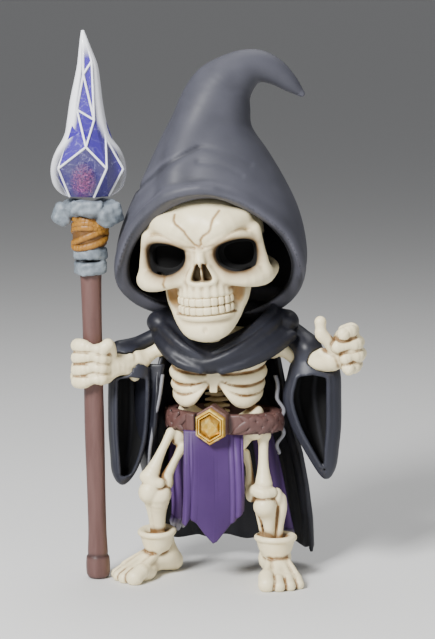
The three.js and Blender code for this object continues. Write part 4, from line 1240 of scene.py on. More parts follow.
    def build(self, bone: Finish) -> None:
        """Makes the head and its teeth."""
        form = self.form()
        skin = skinned(form, form.centre - 27, form.centre + 27, BONE_VOXEL)
        self.paint(form, skin)
        settle(as_object("skull_form", skin, bone), ["skull"])
        turns = self.tooth_turns()
        turned_by = self.place.matrix().T
        wide = np.array([*self.tooth_sizes[::-1], *self.tooth_sizes])
        strand = Strand(len(turns), spread=0.03, seed=5)
        rows = (("upper_teeth", -11.2, 0.0, 0.98), ("lower_teeth", -13.75, 0.06, 0.94))
        for label, height, lean, tall in rows:
            facing = np.stack([-np.sin(turns), np.cos(turns), np.full(len(turns), lean)], 1) @ turned_by
            upward = np.tile([0, 0, 1.0], (len(turns), 1)) @ turned_by
            line = self.place.out(self.arc(turns, height, -0.6))
            girth = np.stack([wide, np.ones(len(turns)), np.full(len(turns), tall)], 1)
            settle(strand.build(label, line, facing, upward, self.tooth(), bone, girth), [])


@dataclass
class Trunk:
    """The ribcage, breastbone, shoulder bones and pelvis, with a spine of vertebrae."""

    place: Place = Place((2.9, -2.5, 62), yaw=-8.0)
    ribs: Sequence[float] = (9.6, 6.4, 3.1)
    pelvis: Place = Place((4.6, -2.2, 46.6), yaw=-16.0)
    vertebrae: int = 18
    spine: tuple[float, float] = (44.0, 74.0)

    def rib(self, height: float) -> list[Form]:
        """One pair of upper ribs from the breastbone round to the back."""
        return both(rod, [(1.6, -9.4, height - 1.0), (5.6, -9.5, height - 0.6), (10.2, -6.8, height - 0.2),
                          (12.6, -1.4, height + 0.6), (11.6, 4.2, height + 0.8), (6.0, 7.8, height + 1.0),
                          (1.0, 7.6, height + 1.2)], [1.3, 1.9, 2, 1.9, 1.8, 1.6, 1.6])

    def low_ribs(self, s: float) -> list[Form]:
        """The three ribs that run into the arch under the breastbone, the last one drooping."""
        return [
            rod([(s * 1.4, -9.7, -0.6), (s * 5.2, -9.7, -1.1), (s * 9.8, -7.4, -1.0), (s * 12.7, -1.8, -0.2),
                 (s * 11.4, 4.2, 0.8), (s * 6.0, 7.6, 1.4)], [0.9, 1.7, 2, 2, 1.8, 1.6]),
            rod([(s * 1.4, -9.9, -1.9), (s * 4.8, -10.0, -3.7), (s * 9.0, -8.0, -4.7), (s * 12.3, -2.6, -3.8),
                 (s * 11.0, 4.0, -2.2), (s * 5.6, 7.4, -1.4)], [0.9, 1.3, 1.6, 1.8, 1.7, 1.5]),
            rod([(s * 1.4, -9.9, -2.8), (s * 4.0, -10.2, -5.3), (s * 7.2, -9.2, -7.5), (s * 9.6, -6.8, -7.8),
                 (s * 11.8, -2.2, -6.4), (s * 10.6, 3.6, -4.6), (s * 5, 7.2, -3.8)],
                [0.9, 1.3, 1.9, 2.1, 1.8, 1.6, 1.4]),
        ]

    def chest(self) -> Form:
        """The ribcage."""
        core = ball((0, -0.6, 3), (11, 8.3, 10.4))
        inside = ball((0, -1.5, -7.6), (8.2, 7, 6.4))
        ribs = joined([f for z in self.ribs for f in self.rib(z)]
                      + [f for s in (-1.0, 1.0) for f in self.low_ribs(s)], 0.25)
        body = carved(joined([core, ribs], 0.5), [inside], 0.6)
        arch = prism([(0, -2.6), (-2.2, -4), (-5, -8.2), (-6.2, -12), (6.2, -12), (5, -8.2), (2.2, -4)],
                     -30, -3)
        knobs = [f for z in (*self.ribs, 0.2) for f in both(ball, (2.2, -10.0, z - 0.8), (1.2, 1.1, 0.9))]
        plate, tip = slab((0, -10, 4.6), (2.1, 1.3, 6.8), 0.9), slab((0, -10.3, -2.4), (1.25, 1.1, 2.6), 0.5)
        bone = joined([plate, tip, *knobs], 0.8)
        body = joined([carved(body, [arch], 0.7), bone], 0.4)
        return scored(body, [((3.6, -1.9), (4.6, -1.2), (5.4, -0.4)), ((7.6, 1.4), (8.3, 2), (8.8, 3.2)),
                             ((-6.4, -4.4), (-6.9, -3.6), (-6.6, -2.6))], 0.2, 0.25, -4.0).placed(self.place)

    def girdle(self) -> Form:
        """The collarbones and shoulders."""
        line = [(-10.6, -1, 68.6), (-4, -3.4, 71.2), (2.6, 0.4, 71.6), (10, -3.4, 71.2), (18.4, -1, 68.6)]
        knobs = [ball((-11.6, -1.6, 68.6), 2.9), ball((19.4, -1.6, 68.4), 2.9)]
        return joined([rod(line, [2.5, 1.8, 2.6, 1.8, 2.5]), *knobs], 1.5)

    def hips(self) -> Form:
        """The pelvis."""
        return joined([
            rod([(-10.6, -3.8, 3.4), (-6, -1.6, -0.2), (0, 1.2, -2), (6, -1.6, -0.2), (10.6, -3.8, 3.4)],
                [2.6, 2.9, 2.9, 2.9, 2.6]),
            *both(rod, [(8.8, -4.2, 0.6), (7.8, -5.2, -4), (4.4, -5.2, -8), (1, -4.8, -7.2)],
                  [2.3, 2.1, 1.7, 1.6]),
            *both(ball, (10.8, -5, -1.6), (2.6, 2.8, 2.8)),
        ], 1.2).placed(self.pelvis)

    def vertebra(self) -> Skin:
        """One vertebra with its two side spurs."""
        spurs = rod([(-3.4, 0.4, -0.2), (0, 0, 0.2), (3.4, 0.4, -0.2)], [0.45, 0.8, 0.45])
        form = joined([ball((0, 0, 0), (2.3, 2.2, 0.95)), spurs], 0.5)
        skin = bone_skin(form, (-4, -3, -1.6), (4, 3, 1.6), 0.42 / FINE, 2.0)
        # a little darker all over and more towards its top and bottom: painted shade between the stacked
        # vertebrae
        skin.values["wash"] = np.clip(0.25 + np.abs(skin.points[:, 2]) * 0.6, 0, 1)
        return skin

    def build(self, bone: Finish) -> None:
        """Makes the trunk and the spine."""
        form = joined([self.chest(), self.girdle(), self.hips()], 0.3)
        skin = bone_skin(form, (-15, -16, 34), (24, 9, 76), 0.36)
        settle(as_object("trunk_form", skin, bone), ["torso"])
        count, (foot, top) = self.vertebrae, self.spine
        heights = np.linspace(foot, top, count)
        line = np.stack([np.full(count, 2.4), 0.6 - 1.2 * np.sin((heights - foot) / 16), heights], 1)
        facing, upward = np.tile([0, 1.0, 0], (count, 1)), np.tile([0, 0, 1.0], (count, 1))
        spine = Strand(count, spread=0.05).build("spine", line, facing, upward, self.vertebra(), bone)
        settle(spine, [])


class Side(Enum):
    """The figure's own side."""

    RIGHT = "right"
    LEFT = "left"


@dataclass
class Arm:
    """An arm bone, a knobby elbow, a flared forearm and a fist."""

    side: Side
    finger_backs: Sequence[float] = (42.5, 44.2, 44.8, 43.7)
    finger_ends: Sequence[float] = (39.6, 38, 40.4, 41.2)

    def upper(self) -> list[Form]:
        """From the shoulder to the elbow."""
        if self.side is Side.RIGHT:
            return [rod([(-12.2, -1.6, 69.4), (-16.4, -2.4, 67.6), (-20.2, -3.2, 65.2)], [3.1, 1.9, 2.7]),
                    ball((-21.4, -4.4, 66), (2.1, 2.4, 2.2)), ball((-22.2, -4.2, 61.8), (2, 2.3, 2.9)),
                    ball((-20.4, -3, 64.4), (1.9, 2.2, 3))]
        return [rod([(20, -1.6, 69.4), (23.6, -2.6, 67.4), (27.2, -3.6, 65)], [3.2, 2.1, 2.6]),
                ball((28.6, -4.6, 66), (1.9, 2.2, 2.6)), ball((28.4, -4.4, 63.4), (2, 2.2, 1.8))]

    def lower(self) -> list[Form]:
        """From the elbow to the wrist."""
        if self.side is Side.RIGHT:
            return [rod([(-22.6, -4.4, 64.4), (-25.4, -6, 64.4), (-30, -8.2, 64.2)], [2.6, 3, 3.9]),
                    rod([(-23.4, -6.4, 66.4), (-26.4, -8.6, 65.8), (-30.4, -11.2, 67.2)], [1.3, 1.1, 1.5]),
                    rod([(-23.4, -6.4, 61.8), (-26.4, -8.6, 62.8), (-30.4, -11, 61)], [1.3, 1.1, 1.6])]
        return [rod([(29, -4.6, 64.6), (31.6, -6.8, 65), (36.4, -9.8, 66.6)], [2.4, 3.1, 3.7]),
                rod([(28.8, -5.8, 65.8), (30.6, -7.8, 66.8), (33.6, -10.6, 68.4)], [1.4, 1.2, 1.6])]

    def grip(self) -> list[Form]:
        """Four fingers round the staff, the palm behind and the thumb."""
        def round_staff(reach: float, turns: Array, height: Array, x: float = -34.4) -> Array:
            """A line round the staff."""
            return np.stack([x + reach * np.sin(turns), STAFF_FOOT[1] + reach * np.cos(turns), height], 1)

        fingers = []
        for row, z in enumerate((70.4, 67.2, 63.9, 60.7)):
            turns = np.radians(np.linspace(112, 372 - row * 6, 9))
            line = round_staff(4.9, turns, z + 0.5 * np.sin(turns * 2 + row), -34.4 - 0.12 * row)
            fingers.append(rod(line, [1.5, 2, 1.2, 2, 2.1, 1.15, 2.05, 1.25, 1.6], 2))
        turns = np.radians(np.linspace(120, 345, 8))
        fingers += [rod(round_staff(4.5, turns, np.full(8, z)), [1.25] * 8, 2) for z in (68.8, 65.5, 62.3)]
        return [*fingers, ball((-32.6, -4.4, 65.4), (4.8, 3, 6.2)),
                rod([(-29.4, -8.6, 65.6), (-29, -10.6, 69), (-29.8, -12.6, 71.2), (-31.4, -13.4, 69.4)],
                    [2.2, 1.7, 1.9, 1.5])]

    def thumbs_up(self) -> list[Form]:
        """Four curled fingers and the raised thumb."""
        fingers = []
        for row, z in enumerate((75, 71.3, 67.9, 64.8)):
            back = self.finger_backs[row]
            line = [(back - 2.4, -5.4, z - 0.5), (back - 0.2, -7.4, z), (back + 0.1, -9.8, z + 0.1),
                    (back - 1.0, -12.8, z), (back - 3.0, -14.4, z), (self.finger_ends[row], -14.6, z - 0.4)]
            fingers.append(rod(line, [1.6, 2.15, 1.6, 2.2, 1.45, 2], 3))
        return [*fingers, ball((40.9, -9.7, 69.7), (4.9, 5.5, 6.6)),
                rod([(37.4, -11.4, 69.4), (35.2, -13.2, 72.4), (33.2, -13.8, 74.4), (32.9, -13.8, 76.4),
                     (32.8, -13.8, 78.2)], [2.2, 1.8, 1.95, 1.55, 1.75])]

    def form(self) -> Form:
        """The whole arm."""
        hand = self.grip() if self.side is Side.RIGHT else self.thumbs_up()
        return joined([joined(self.upper(), 1.2), joined(self.lower(), 0.7), joined(hand, 0.35)], 0.5)

    def build(self, bone: Finish) -> None:
        """Makes the arm."""
        low, high = ((-42, -17, 57), (-9, 3, 74)) if self.side is Side.RIGHT else ((17, -17, 60), (48, 3, 81))
        skin = bone_skin(self.form(), low, high, 0.31)
        settle(as_object(f"arm_{self.side.value}_form", skin, bone), [f"arm_{self.side.value}"])


@dataclass
class Leg:
    """Two thigh bones, a big knee, two shin bones, an ankle collar and a bare foot."""

    side: Side
    shin_foot: Point
    foot: Place
    cuff: Place
    cuff_radius: float

    @classmethod
    def make(cls, side: Side) -> "Leg":
        """The leg of one side."""
        if side is Side.RIGHT:
            return cls(side, (-15.3, -5.4, 9), Place((-15.4, -4, 0), yaw=-44),
                       Place((-15.5, -5.4, 9.9), yaw=-30, pitch=6), 5.2)
        return cls(side, (18.9, -11.2, 9), Place((20, -10.6, 0), yaw=6), Place((19.9, -11.4, 9.4), yaw=4),
                   5.7)

    def thigh(self) -> list[Form]:
        """The thick and the thin thigh bone."""
        if self.side is Side.RIGHT:
            return [rod([(-11.4, -6.6, 43.8), (-13.4, -8.2, 40), (-15.6, -9.6, 35.4), (-17.4, -10.8, 31.4)],
                        [1.5, 1.25, 1.7, 2.7]), ball((-9.2, -5.2, 42.4), (2.5, 2.3, 2.9)),
                    rod([(-19, -11, 31.2), (-17, -12.2, 29.6), (-14.8, -12.2, 29.4)], [1.7, 1.9, 1.7]),
                    rod([(-8, -6.2, 39.4), (-9.8, -7.4, 36.2), (-12.6, -9.4, 31)], [1.7, 1.15, 1.7]),
                    ball((-12.4, -10, 29.6), (1.8, 2, 2.6))]
        return [rod([(16, -8.8, 43.8), (16.2, -10, 40), (16.2, -11.4, 34.6), (16.3, -12.6, 29.6)],
                    [1.9, 1.45, 1.6, 2.6]), ball((16.6, -8.8, 43.4), (1.9, 1.8, 1.8)),
                rod([(13.6, -13.4, 27.6), (16.2, -14.6, 26.8), (18.6, -13.6, 27)], [1.7, 1.9, 1.7]),
                rod([(10.8, -7.8, 37.6), (11.9, -9, 34), (12.3, -10.6, 28.6)], [1.5, 1.05, 1.5]),
                ball((12.7, -11.4, 26.2), (1.9, 2.2, 2.6))]

    def shin(self) -> list[Form]:
        """The kneecap and the shin bones."""
        end = self.shin_foot
        if self.side is Side.RIGHT:
            return [ball((-17.8, -11.4, 26.8), (3.2, 3.4, 3.6), (0, 20, 0)),
                    ball((-13.6, -10.8, 26), (2.4, 3, 2.6)),
                    rod([(-18.2, -10.8, 25.6), (-17.6, -9.6, 21), (-17.0, -8.0, 16), (-16.6, -6.4, 9)],
                        [1.9, 1.1, 0.85, 0.9]),
                    rod([(-15, -10.8, 25.2), (-15, -9.4, 20.6), (-15, -7.8, 16), end], [3.5, 2.3, 1.85, 2.1])]
        return [ball((16.6, -13.6, 22.8), (3.4, 3.4, 3.3)), ball((20.2, -11.6, 25.2), (1.9, 2.6, 2.8)),
                rod([(17, -12.9, 22.4), (17.8, -12.2, 18.6), (18.2, -11.8, 14), (18.4, -11.4, 9)],
                    [3.1, 2.1, 1.6, 1.6]),
                rod([(21.2, -11.2, 24.6), (21.6, -11.2, 21.6), (21.0, -11.0, 16), (20.6, -11, 9)],
                    [1.9, 1.7, 1.25, 1.5]),
                rod([(14.4, -12.2, 21), (15.2, -11.6, 17), (16.2, -11.2, 12)], [0.7, 0.6, 0.6])]

    def sole(self, s: float) -> Form:
        """The bare foot in its own frame, toes towards -Y and the big toe away from side s."""
        toes = [(4.4, -14.8, 2.6), (0.9, -15.6, 1.9), (-2.3, -14.8, 1.8), (-5.1, -13, 1.7)]
        body = joined([
            rod([(0, 6.2, 3), (0, 1, 5.0), (s * 0.2, -5, 3.8)], [3.2, 4, 3.4]),
            rod([(0, 3, 5.4), (0, 1.4, 9.8)], [3.7, 3.9]),
            ball((-s * 2.0, -8.6, 2.2), (3.7, 4.6, 2.9)), ball((s * 2.2, -8.2, 2.0), (3.6, 4.6, 2.5)),
            ball((s * 2.6, 1.5, 6.4), (1.8, 2.2, 2)), ball((-s * 2.8, 2.2, 6.0), (1.7, 2.2, 2)),
        ], 2.2)

        def toe(x: float, y: float, r: float) -> Form:
            """One toe and its knuckle."""
            line = [(-s * x * 0.86, -9.4, r + 0.9), (-s * x, y + 2.8, r + 0.5),
                    (-s * x * 1.02, y + 0.6, r * 0.72)]
            knuckle = ball((-s * x * 0.97, y + 3.4, r + 0.7), r * 0.92)
            return joined([rod(line, [r * 0.8, r * 0.86, r * 0.98]), knuckle], 0.4)

        cords = [rod([(-s * x * 0.25, 0.4, 8.2), (-s * x * 0.6, -4.4, 6.1), (-s * x * 0.9, -9.6, r + 2.0)],
                     [0.9, 1, 1.1]) for x, y, r in toes]
        whole = joined([joined([body, *cords], 0.6), *[toe(*row) for row in toes]], 0.4)
        return kept(whole, above(0.0), 0.3)

    def collar(self) -> Form:
        """The turned-down collar of bone round the ankle, dipping to a point in front."""
        r = self.cuff_radius
        outside = stack([(-2.6, 0, 0, r * 0.70, r * 0.66), (-0.6, 0, 0, r * 0.86, r * 0.82),
                         (1.6, 0, 0, r * 0.96, r * 0.92), (3.4, 0, 0, r * 1.04, r),
                         (4.2, 0, 0, r * 0.98, r * 0.94)])
        well = ball((0, 0, 5.4), (r * 0.80, r * 0.76, 2.6))

        def distance(p: Array) -> Array:
            """The outside, its lower edge drawn down in front."""
            turn = np.arctan2(p[:, 0], -p[:, 1])
            dip = 1.7 * fading(np.abs(turn) - 0.2, 0.55) - 0.5
            low = np.clip((2.4 - p[:, 2]) / 4, 0, 1)
            q = p.copy()
            q[:, 2] += dip * low
            return outside(q)

        def ring(p: Array) -> Array:
            """The rolled edge."""
            return np.hypot(np.hypot(p[:, 0], p[:, 1] * 1.04) - r * 0.98, p[:, 2] - 3.5) - 0.85

        reach = outside.reach + 2
        body, rim = Form(distance, outside.centre, reach), Form(ring, outside.centre, reach)
        return carved(joined([body, rim], 0.3), [well], 0.6).placed(self.cuff)

    def form(self) -> Form:
        """The whole leg."""
        s = -1.0 if self.side is Side.RIGHT else 1.0
        knee = joined([joined(self.thigh(), 0.8), joined(self.shin(), 0.5)], 0.2)
        return joined([knee, self.collar(), self.sole(s).placed(self.foot)], 0.25)

    def build(self, bone: Finish) -> None:
        """Makes the leg."""
        low, high = ((-32, -20, 0), (-5, 9, 47)) if self.side is Side.RIGHT else ((8, -28, 0), (29, 2, 47))
        skin = bone_skin(self.form(), low, high, 0.35)
        skin.points[:, 2] = np.maximum(skin.points[:, 2], 0)
        settle(as_object(f"leg_{self.side.value}_form", skin, bone), [f"leg_{self.side.value}"])


CLOTH_VOXEL = 0.58
CLOTH_CREVICES = (0.8, 2, 4)  # how far out a cloth is sounded for hollows


def cloth_skin(form: Form, low: Point, high: Point, voxel: float = CLOTH_VOXEL) -> Skin:
    """Meshes a thick cloth and works out its folds: painted shade in them and a painted highlight on its
    crests.
    """
    skin = skinned(form, low, high, voxel)
    hollow = crevice(form, skin.points, CLOTH_CREVICES)
    proud = crest(form, skin.points, 1.6)
    # painted shade in the hollows, less a painted highlight on the crests
    skin.values = {"wash": np.clip((hollow - 0.12) * 1.6, 0, 1) - np.clip(proud - 0.1, 0, 1) * 0.8}
    return skin


@dataclass
class Hood:
    """The pointed hood: an egg-shaped shell with a curled tip, open in front behind a thick rounded rim."""

    rows: Line = (
        # height, middle X and Y, half width, half depth
        (78.6, 2, 4, 12, 8), (80.2, 1.6, 2.4, 17.4, 12.4), (83, 0.9, 0.2, 22.2, 17.2),
        (88, 0.3, -2.6, 26.8, 20.8), (95, 0.7, -4.6, 28.4, 22.8), (103, 1, -5.2, 27.6, 22.9),
        (111.4, 1.4, -4.8, 25, 22), (119.4, 1.4, -3.8, 21.2, 19.6), (127.6, 0.8, -2.6, 16.9, 16.4),
        (134.6, 0.1, -2, 12.8, 12.4), (140, 1.1, -2, 10.7, 10.4), (144.4, 2.6, -2, 8.4, 8.4))
    tip: Line = (
        # middle and radius
        (1.1, -2, 140, 10.3), (3, -2, 145.2, 8.9), (7, -2, 149.3, 7.1), (11, -2, 152, 5.6),
        (15.2, -2, 152.6, 4.7), (19.6, -2, 150.9, 3.8), (23.8, -2, 147.7, 2.6), (27.4, -2, 144.6, 1))
    opening: Line = (
        (1, 117.4), (-9, 116.4), (-17.2, 112.4), (-22.8, 105.2), (-26.0, 97), (-29.0, 88), (-31, 76), (2, 68),
        (34, 76), (29, 88), (25.9, 97), (22.2, 104.4), (15, 110.6), (8.2, 115.2))
    rim: Line = (
        (1, -24.4, 117.9), (-9.5, -23.2, 116.9), (-17.3, -19.2, 111.9), (-22.9, -14, 103.9),
        (-25.8, -9.6, 95.6), (-25.2, -6, 88.4), (-20.8, -2.2, 83.2), (-13.6, 2, 80), (-8, 9, 79.2),
        (2.4, 13, 78.8), (12, 9, 79.2), (17, 1.4, 80.2), (23.4, -3, 84.4), (26.2, -7.4, 90.4),
        (25.9, -11.8, 97), (22.1, -16, 104.6), (14.8, -20.8, 111.2))
    wall: float = 3.0
    slope: float = 0.6

    def outside(self) -> Form:
        """The outside, with the soft ridge down its front and the creases at its waist."""
        ridge = rod([(-9.6, -18.4, 116), (-8.8, -16.4, 121), (-7.2, -12.8, 127), (-4.6, -9.4, 134),
                     (-0.8, -7.2, 142), (3.6, -5.8, 148)], [4.2, 4.8, 5.2, 5, 4.2, 3.2])
        back = rod([(2, 17.2, 98), (2, 14.8, 112), (1.4, 12.4, 124), (1, 9.4, 134), (2.4, 6.2, 144)],
                   [1.6, 2, 2.4, 2.4, 2])
        tip = np.array(self.tip)
        body = joined([stack(self.rows), rod(tip[:, :3], tip[:, 3], 4)], 2.5)
        body = joined([body, ridge, back], 3.0)
        deep = scored(body, [smooth_line(((-20.6, 116.4), (-16.6, 120.2), (-12.2, 124.4), (-8.1, 127),
                                          (-3.2, 129.4)), 4)], 0.6, 0.8, 2.0)
        return scored(deep, [smooth_line(((-3, 125.6), (3.5, 124.8), (9.5, 121.8)), 4),
                             smooth_line(((-2, 129.8), (4.7, 128.4), (12.2, 124.9)), 4)], 0.35, 0.8, 2.0)

    def form(self) -> Form:
        """The hollow, open hood."""
        outer = self.outside()
        hollow = kept(sized(stack(self.rows), -self.wall), ball((1, -4, 96), (40, 40, 27.5)), 4)
        hollow = joined([hollow, stack([(70, 2, 4, 9, 6), (78, 2, 4, 9.4, 6), (82, 2, 3, 17, 11),
                                        (86, 1.4, 0, 21, 15)])], 1)
        front = prism(self.opening, -60, 60)
        lean = math.hypot(1, self.slope)
        ahead = Form(lambda p: (p[:, 1] + 12 + self.slope * (p[:, 2] - 98)) / lean, front.centre, FAR)
        shell = carved(carved(outer, [hollow], 0.6), [kept(front, ahead)], 0.8)
        thick = [1.3] * 4 + [1.4] + [1.5] * 8 + [1.4] + [1.3] * 3
        return joined([shell, rod(self.rim, thick, 3, closed=True)], 2.8)

    def build(self, robe: Finish) -> None:
        """Makes the hood."""
        skin = cloth_skin(self.form(), (-31, -30, 76), (31, 21, 161))
        inner = sized(stack(self.rows), -self.wall)(skin.points)
        # painted shade on the inner face of the hood, below the crown
        skin.values["inside"] = np.clip(1.3 - np.abs(inner) / 0.9, 0, 1) * (skin.points[:, 2] < 124)
        settle(as_object("hood_form", skin, robe), ["hood"])


@dataclass
class Cowl:
    """The thick scarf-like collar, draped in a V with folds rising to the left shoulder."""

    low: Line = (
        (0.6, -17, 66.2), (8.6, -16.2, 67.8), (16.4, -12.8, 71), (21.8, -6.4, 73.4), (22, 2, 75.2),
        (12, 7.6, 76), (2, 8.4, 76), (-7.4, 7.2, 76), (-12.8, 1, 75.8), (-13.2, -5.6, 73.6),
        (-10.4, -12.2, 70.5), (-5, -15.9, 67.2))
    high: Line = (
        (1, -13, 69.6), (10, -11.4, 73), (17, -7, 76.8), (19.6, 0, 78.8), (14, 5.6, 79.2), (3, 6.4, 79.2),
        (-8, 5, 78.8), (-12.2, -1, 78.4), (-10.4, -7, 75.8), (-5, -11.4, 71.8))

    def form(self) -> Form:
        """The collar."""
        body = joined([rod(self.low, [3.0] * len(self.low), 3, closed=True),
                       rod(self.high, [2.7] * len(self.high), 3, closed=True)], 4.0)
        folds = [
            rod([(-1, -19, 66.6), (6, -18.4, 69.2), (12.6, -15.4, 72.6), (18.6, -10, 76.6), (22, -3.4, 79.4)],
                [0.7, 1.3, 1.6, 1.7, 1.4]),
            rod([(1.4, -17.2, 69.6), (7.6, -16, 72.4), (13.6, -12.2, 76.2), (18.2, -6.6, 79.8),
                 (19.6, -0.6, 81.4)],
                [0.6, 1.2, 1.5, 1.6, 1.3]),
            rod([(3.6, -19.2, 64.4), (11, -18, 66.4), (18.4, -14.2, 69.6), (24.4, -7.6, 73.2)],
                [1, 1.5, 1.8, 1.8]),
            rod([(-2, -18.6, 68.4), (-7.6, -16.8, 71.4), (-12.4, -11.4, 75), (-15, -4.8, 77.6)],
                [0.7, 1.4, 1.7, 1.8]),
            rod([(-2.4, -19.2, 64.6), (-8.8, -17, 66.6), (-13.6, -11, 70.6), (-15.4, -4, 73.4)],
                [1, 1.6, 1.8, 1.8]),
            ball((-14.8, -4.2, 77), (3.8, 5.4, 3.4), (0, -16, 0)),
            ball((23.2, -2.4, 76.8), (3.8, 5.6, 3.6), (0, 24, 0)),
        ]
        chin = ball((-0.8, -17.4, 76.4), (8.2, 7.2, 4.6))
        return carved(joined([body, *folds], 0.8), [chin], 1.2)

    def build(self, robe: Finish) -> None:
        """Makes the cowl."""
        skin = cloth_skin(self.form(), (-20, -23, 58), (29, 13, 84))
        settle(as_object("cowl_form", skin, robe), ["cowl"])


@dataclass
class Sleeve:
    """A hanging pouch of cloth, open in front between two rolled edges, and the cloth over the upper arm."""

    side: Side
    rows: Line
    lips: tuple[float, float]
    arm: Form
    wall: float = 1.25

    @classmethod
    def make(cls, side: Side) -> "Sleeve":
        """The sleeve of one side."""
        if side is Side.RIGHT:
            rows = ((67.6, -23.4, -2.4, 4, 3.8), (65, -23.6, -2.8, 5.8, 4.9), (60, -23.8, -3.2, 6.3, 5.8),
                    (54, -23.9, -3.6, 6.4, 6), (44, -24.2, -3.4, 6.1, 5.8), (37, -24.7, -3.8, 5.1, 5),
                    (32, -25.5, -4.4, 3.9, 3.9), (29, -25.9, -4.8, 2.3, 2.4), (27.6, -26, -5, 0.8, 0.9))
            return cls(side, rows, (2.6, 1), Arm(side).form())
        rows = ((68.2, 31, -4, 4.6, 3.6), (65.4, 31.4, -4.6, 6.8, 5.2), (61, 31.4, -5.4, 8, 6.2),
                (54, 30.8, -5.8, 8.8, 6.4), (46, 32, -6.2, 7.6, 6), (39.6, 33.4, -7, 5.6, 5),
                (34.4, 34.6, -7.6, 3.7, 3.8), (31.4, 35, -7.9, 2.1, 2.3), (30, 35.1, -8, 0.8, 0.9))
        return cls(side, rows, (2.6, 4.2), Arm(side).form())

    def cover(self) -> list[Form]:
        """The cloth over the upper arm."""
        if self.side is Side.RIGHT:
            return [rod([(-11.5, 0.8, 73.6), (-16.6, 0.8, 71.6), (-21.6, -0.4, 69.4), (-26.6, -2.2, 68.2)],
                        [3, 2.5, 2.5, 2.9]), ball((-25, -2.6, 66.6), (4.4, 4.4, 3))]
        return [rod([(20.4, 0, 74.4), (25, -1.4, 72.4), (29.2, -3, 69.2)], [4.2, 4, 4]),
                ball((29.6, -4.2, 68.2), (4.2, 5.2, 4.8), (0, -30, 0))]

    def edges(self) -> list[list[Point]]:
        """The two rolled edges of the mouth, from the top down."""
        sides = []
        for s, lip in zip((-1.0, 1.0), self.lips):
            line = []
            for z, x, y, a, b in self.rows[2:-2]:
                share = max(0.0, 1 - lip / a)
                line.append((x + s * a * share, y - (b - 0.5) * math.sqrt(1 - share ** 2), z))
            sides.append(line)
        return sides

    def form(self) -> Form:
        """The sleeve."""
        left, right = self.edges()
        z, x = self.rows[-3][:2]
        outline = [(p[0], p[2]) for p in left] + [(x, z - 1.4)] + [(p[0], p[2]) for p in right[::-1]]
        outer = joined([stack(self.rows), *self.cover()], 1.6)
        below = Form(lambda p: p[:, 2] - self.rows[1][0] + 2.0, np.zeros(3), FAR)
        hollow = kept(sized(stack(self.rows), -self.wall), below, 1.5)
        middle = sum(row[2] for row in self.rows) / len(self.rows)
        mouth = prism(outline, -40, middle, 2)
        shell = carved(outer, [hollow, mouth], 0.5)
        lips = [rod(line, [0.5 + 0.1 * math.sin(i) for i in range(len(line))]) for line in (left, right)]
        creases = [rod([(x + side * a, y + b * out, z) for z, x, y, a, b in self.rows[1:-2]],
                       [r] * (len(self.rows) - 3)) for side, out, r in ((0.1, 0.9, 0.9), (-0.5, 0.78, 0.7))]
        body = joined([shell, *lips, *creases], 1.0)
        return carved(body, [sized(self.arm, 0.3)], 0.4)

    def build(self, robe: Finish) -> None:
        """Makes the sleeve."""
        low, high = ((-32, -12, 26), (-8, 8, 78)) if self.side is Side.RIGHT else ((16, -15, 28), (42, 8, 80))
        skin = cloth_skin(self.form(), low, high, 0.45)
        inner = sized(stack(self.rows), -self.wall)(skin.points)
        below = skin.points[:, 2] < self.rows[1][0] - 1.5
        # painted shade on the inner face of the sleeve, below its top
        skin.values["inside"] = np.clip(1.4 - np.abs(inner) / 0.45, 0, 1) * below
        settle(as_object(f"sleeve_{self.side.value}_form", skin, robe), [f"sleeve_{self.side.value}"])


def along(table: Sequence[float], share: Array) -> Array:
    """Evenly spaced values read at shares from 0 to 1."""
    return np.interp(share, np.linspace(0, 1, len(table)), table)


